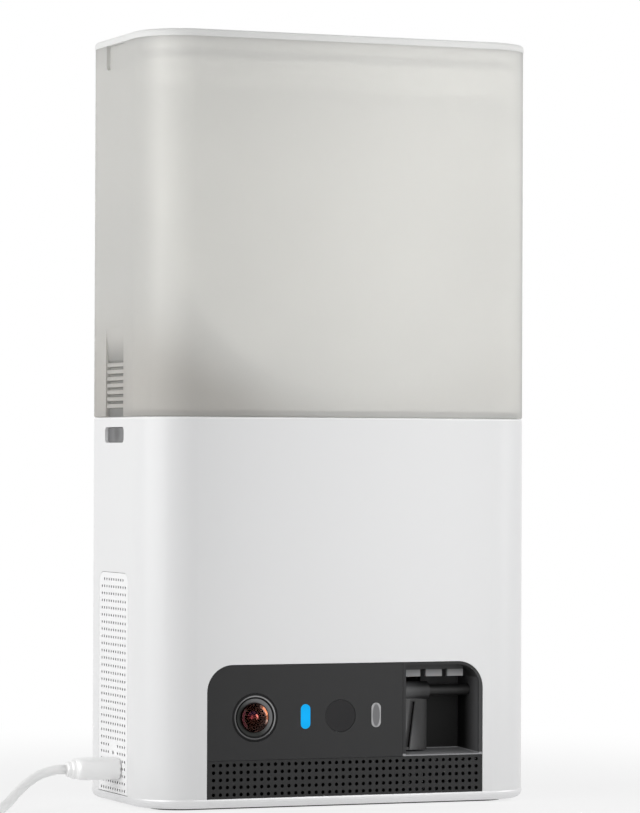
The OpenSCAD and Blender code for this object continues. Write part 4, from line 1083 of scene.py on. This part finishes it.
class TREATCAM_OT_studio(Operator):
    """Lays the floor and hangs the lamps"""

    bl_idname = "treatcam.studio"
    bl_label = "Studio"

    def execute(self, context):
        studio = context.scene.treatcam.studio
        reach = 4.0
        corners = [(x * reach, y * reach, 0) for x, y in ((-1, -1), (1, -1), (1, 1), (-1, 1))]
        mesh = bpy.data.meshes.new("floor")
        mesh.from_pydata(corners, [], [(0, 1, 2, 3)])
        floor = bpy.data.objects.new("floor", mesh)
        floor.location.z = -0.05 * MM
        context.scene.collection.objects.link(floor)
        paper = Finish("floor_paper", Roughness=0.9, Specular_IOR_Level=0.0)
        paper.set(Base_Color=(0.94, 0.94, 0.94))
        far = paper.step(paper.from_axis("X", "Y", (-0.02, 0.0)), 0.1, 0.4, 0.75, 1.0)
        glow = paper.node("Emission", inputs={"Color": (1, 1, 1), "Strength": 1.0})
        blend = {0: paper.watched() * far, 1: paper.shader, 2: glow}
        seen = paper.node("MixShader", inputs=blend)
        paper.feed(paper.surface.node.inputs[0], seen)
        floor.data.materials.append(paper.material)

        world = bpy.data.worlds.new("studio_white")
        sky = Nodes(world)
        soft = {"Color": (0.985, 0.99, 1), "Strength": studio.ambient}
        soft = sky.node("Background", inputs=soft)
        white = sky.node("Background", inputs={"Color": (1, 1, 1), "Strength": 1.0})
        blend = {0: sky.watched(), 1: soft, 2: white}
        seen = sky.node("MixShader", inputs=blend)
        sky.node("OutputWorld", inputs={0: seen})
        context.scene.world = world

        middle, front = (0, 0, 0.15), (0.045, PANEL_FRONT, 0.15)
        self.lamp(context, "left_box", (-1.15, -0.25, 0.35), middle, 0.8, 1.2, studio.key)
        self.lamp(context, "right_box", (1.1, -0.45, 0.4), middle, 0.6, 1.2, studio.fill)
        self.lamp(context, "front_strip", (0.05, -0.26, 0.16), front, 0.03, 0.6, studio.strip)
        bpy.data.lights["front_strip"].spread = math.radians(60)
        context.scene.view_settings.view_transform = "Standard"
        return {"FINISHED"}

    def lamp(self, context, name, place, aim, width, height, watts):
        """A soft box of that size at a place, turned to its aim."""
        data = bpy.data.lights.new(name, "AREA")
        data.shape = "RECTANGLE"
        data.size, data.size_y, data.energy = width, height, watts
        lamp = bpy.data.objects.new(name, data)
        lamp.location = place
        lamp.rotation_euler = (Vector(aim) - Vector(place)).to_track_quat("-Z", "Z").to_euler()
        context.scene.collection.objects.link(lamp)


# ---- add-on

STEPS = (
    TREATCAM_OT_photo_camera,
    TREATCAM_OT_power_lead,
    TREATCAM_OT_housing,
    TREATCAM_OT_container,
    TREATCAM_OT_front_panel,
    TREATCAM_OT_lens,
    TREATCAM_OT_chute,
    TREATCAM_OT_controls,
    TREATCAM_OT_springs,
    TREATCAM_OT_works,
    TREATCAM_OT_seal,
    TREATCAM_OT_studio,
)


class TREATCAM_PT_dressing(Panel):
    """Lists the steps that dress the treat camera"""

    bl_idname = "TREATCAM_PT_dressing"
    bl_label = "Treat Camera"
    bl_space_type = "VIEW_3D"
    bl_region_type = "UI"
    bl_category = "Treat Camera"

    def draw(self, context):
        for step in STEPS:
            self.layout.operator(step.bl_idname)


CLASSES = (
    BodySettings,
    LensSettings,
    LeadSettings,
    StudioSettings,
    TreatCameraSettings,
    *STEPS,
    TREATCAM_PT_dressing,
)


def register():
    for each in CLASSES:
        bpy.utils.register_class(each)
    bpy.types.Scene.treatcam = PointerProperty(type=TreatCameraSettings)


def unregister():
    del bpy.types.Scene.treatcam
    for each in reversed(CLASSES):
        bpy.utils.unregister_class(each)


def main():
    """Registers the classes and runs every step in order."""
    register()
    for step in STEPS:
        group, name = step.bl_idname.split(".")
        getattr(getattr(bpy.ops, group), name)()


if __name__ == "__main__":
    main()
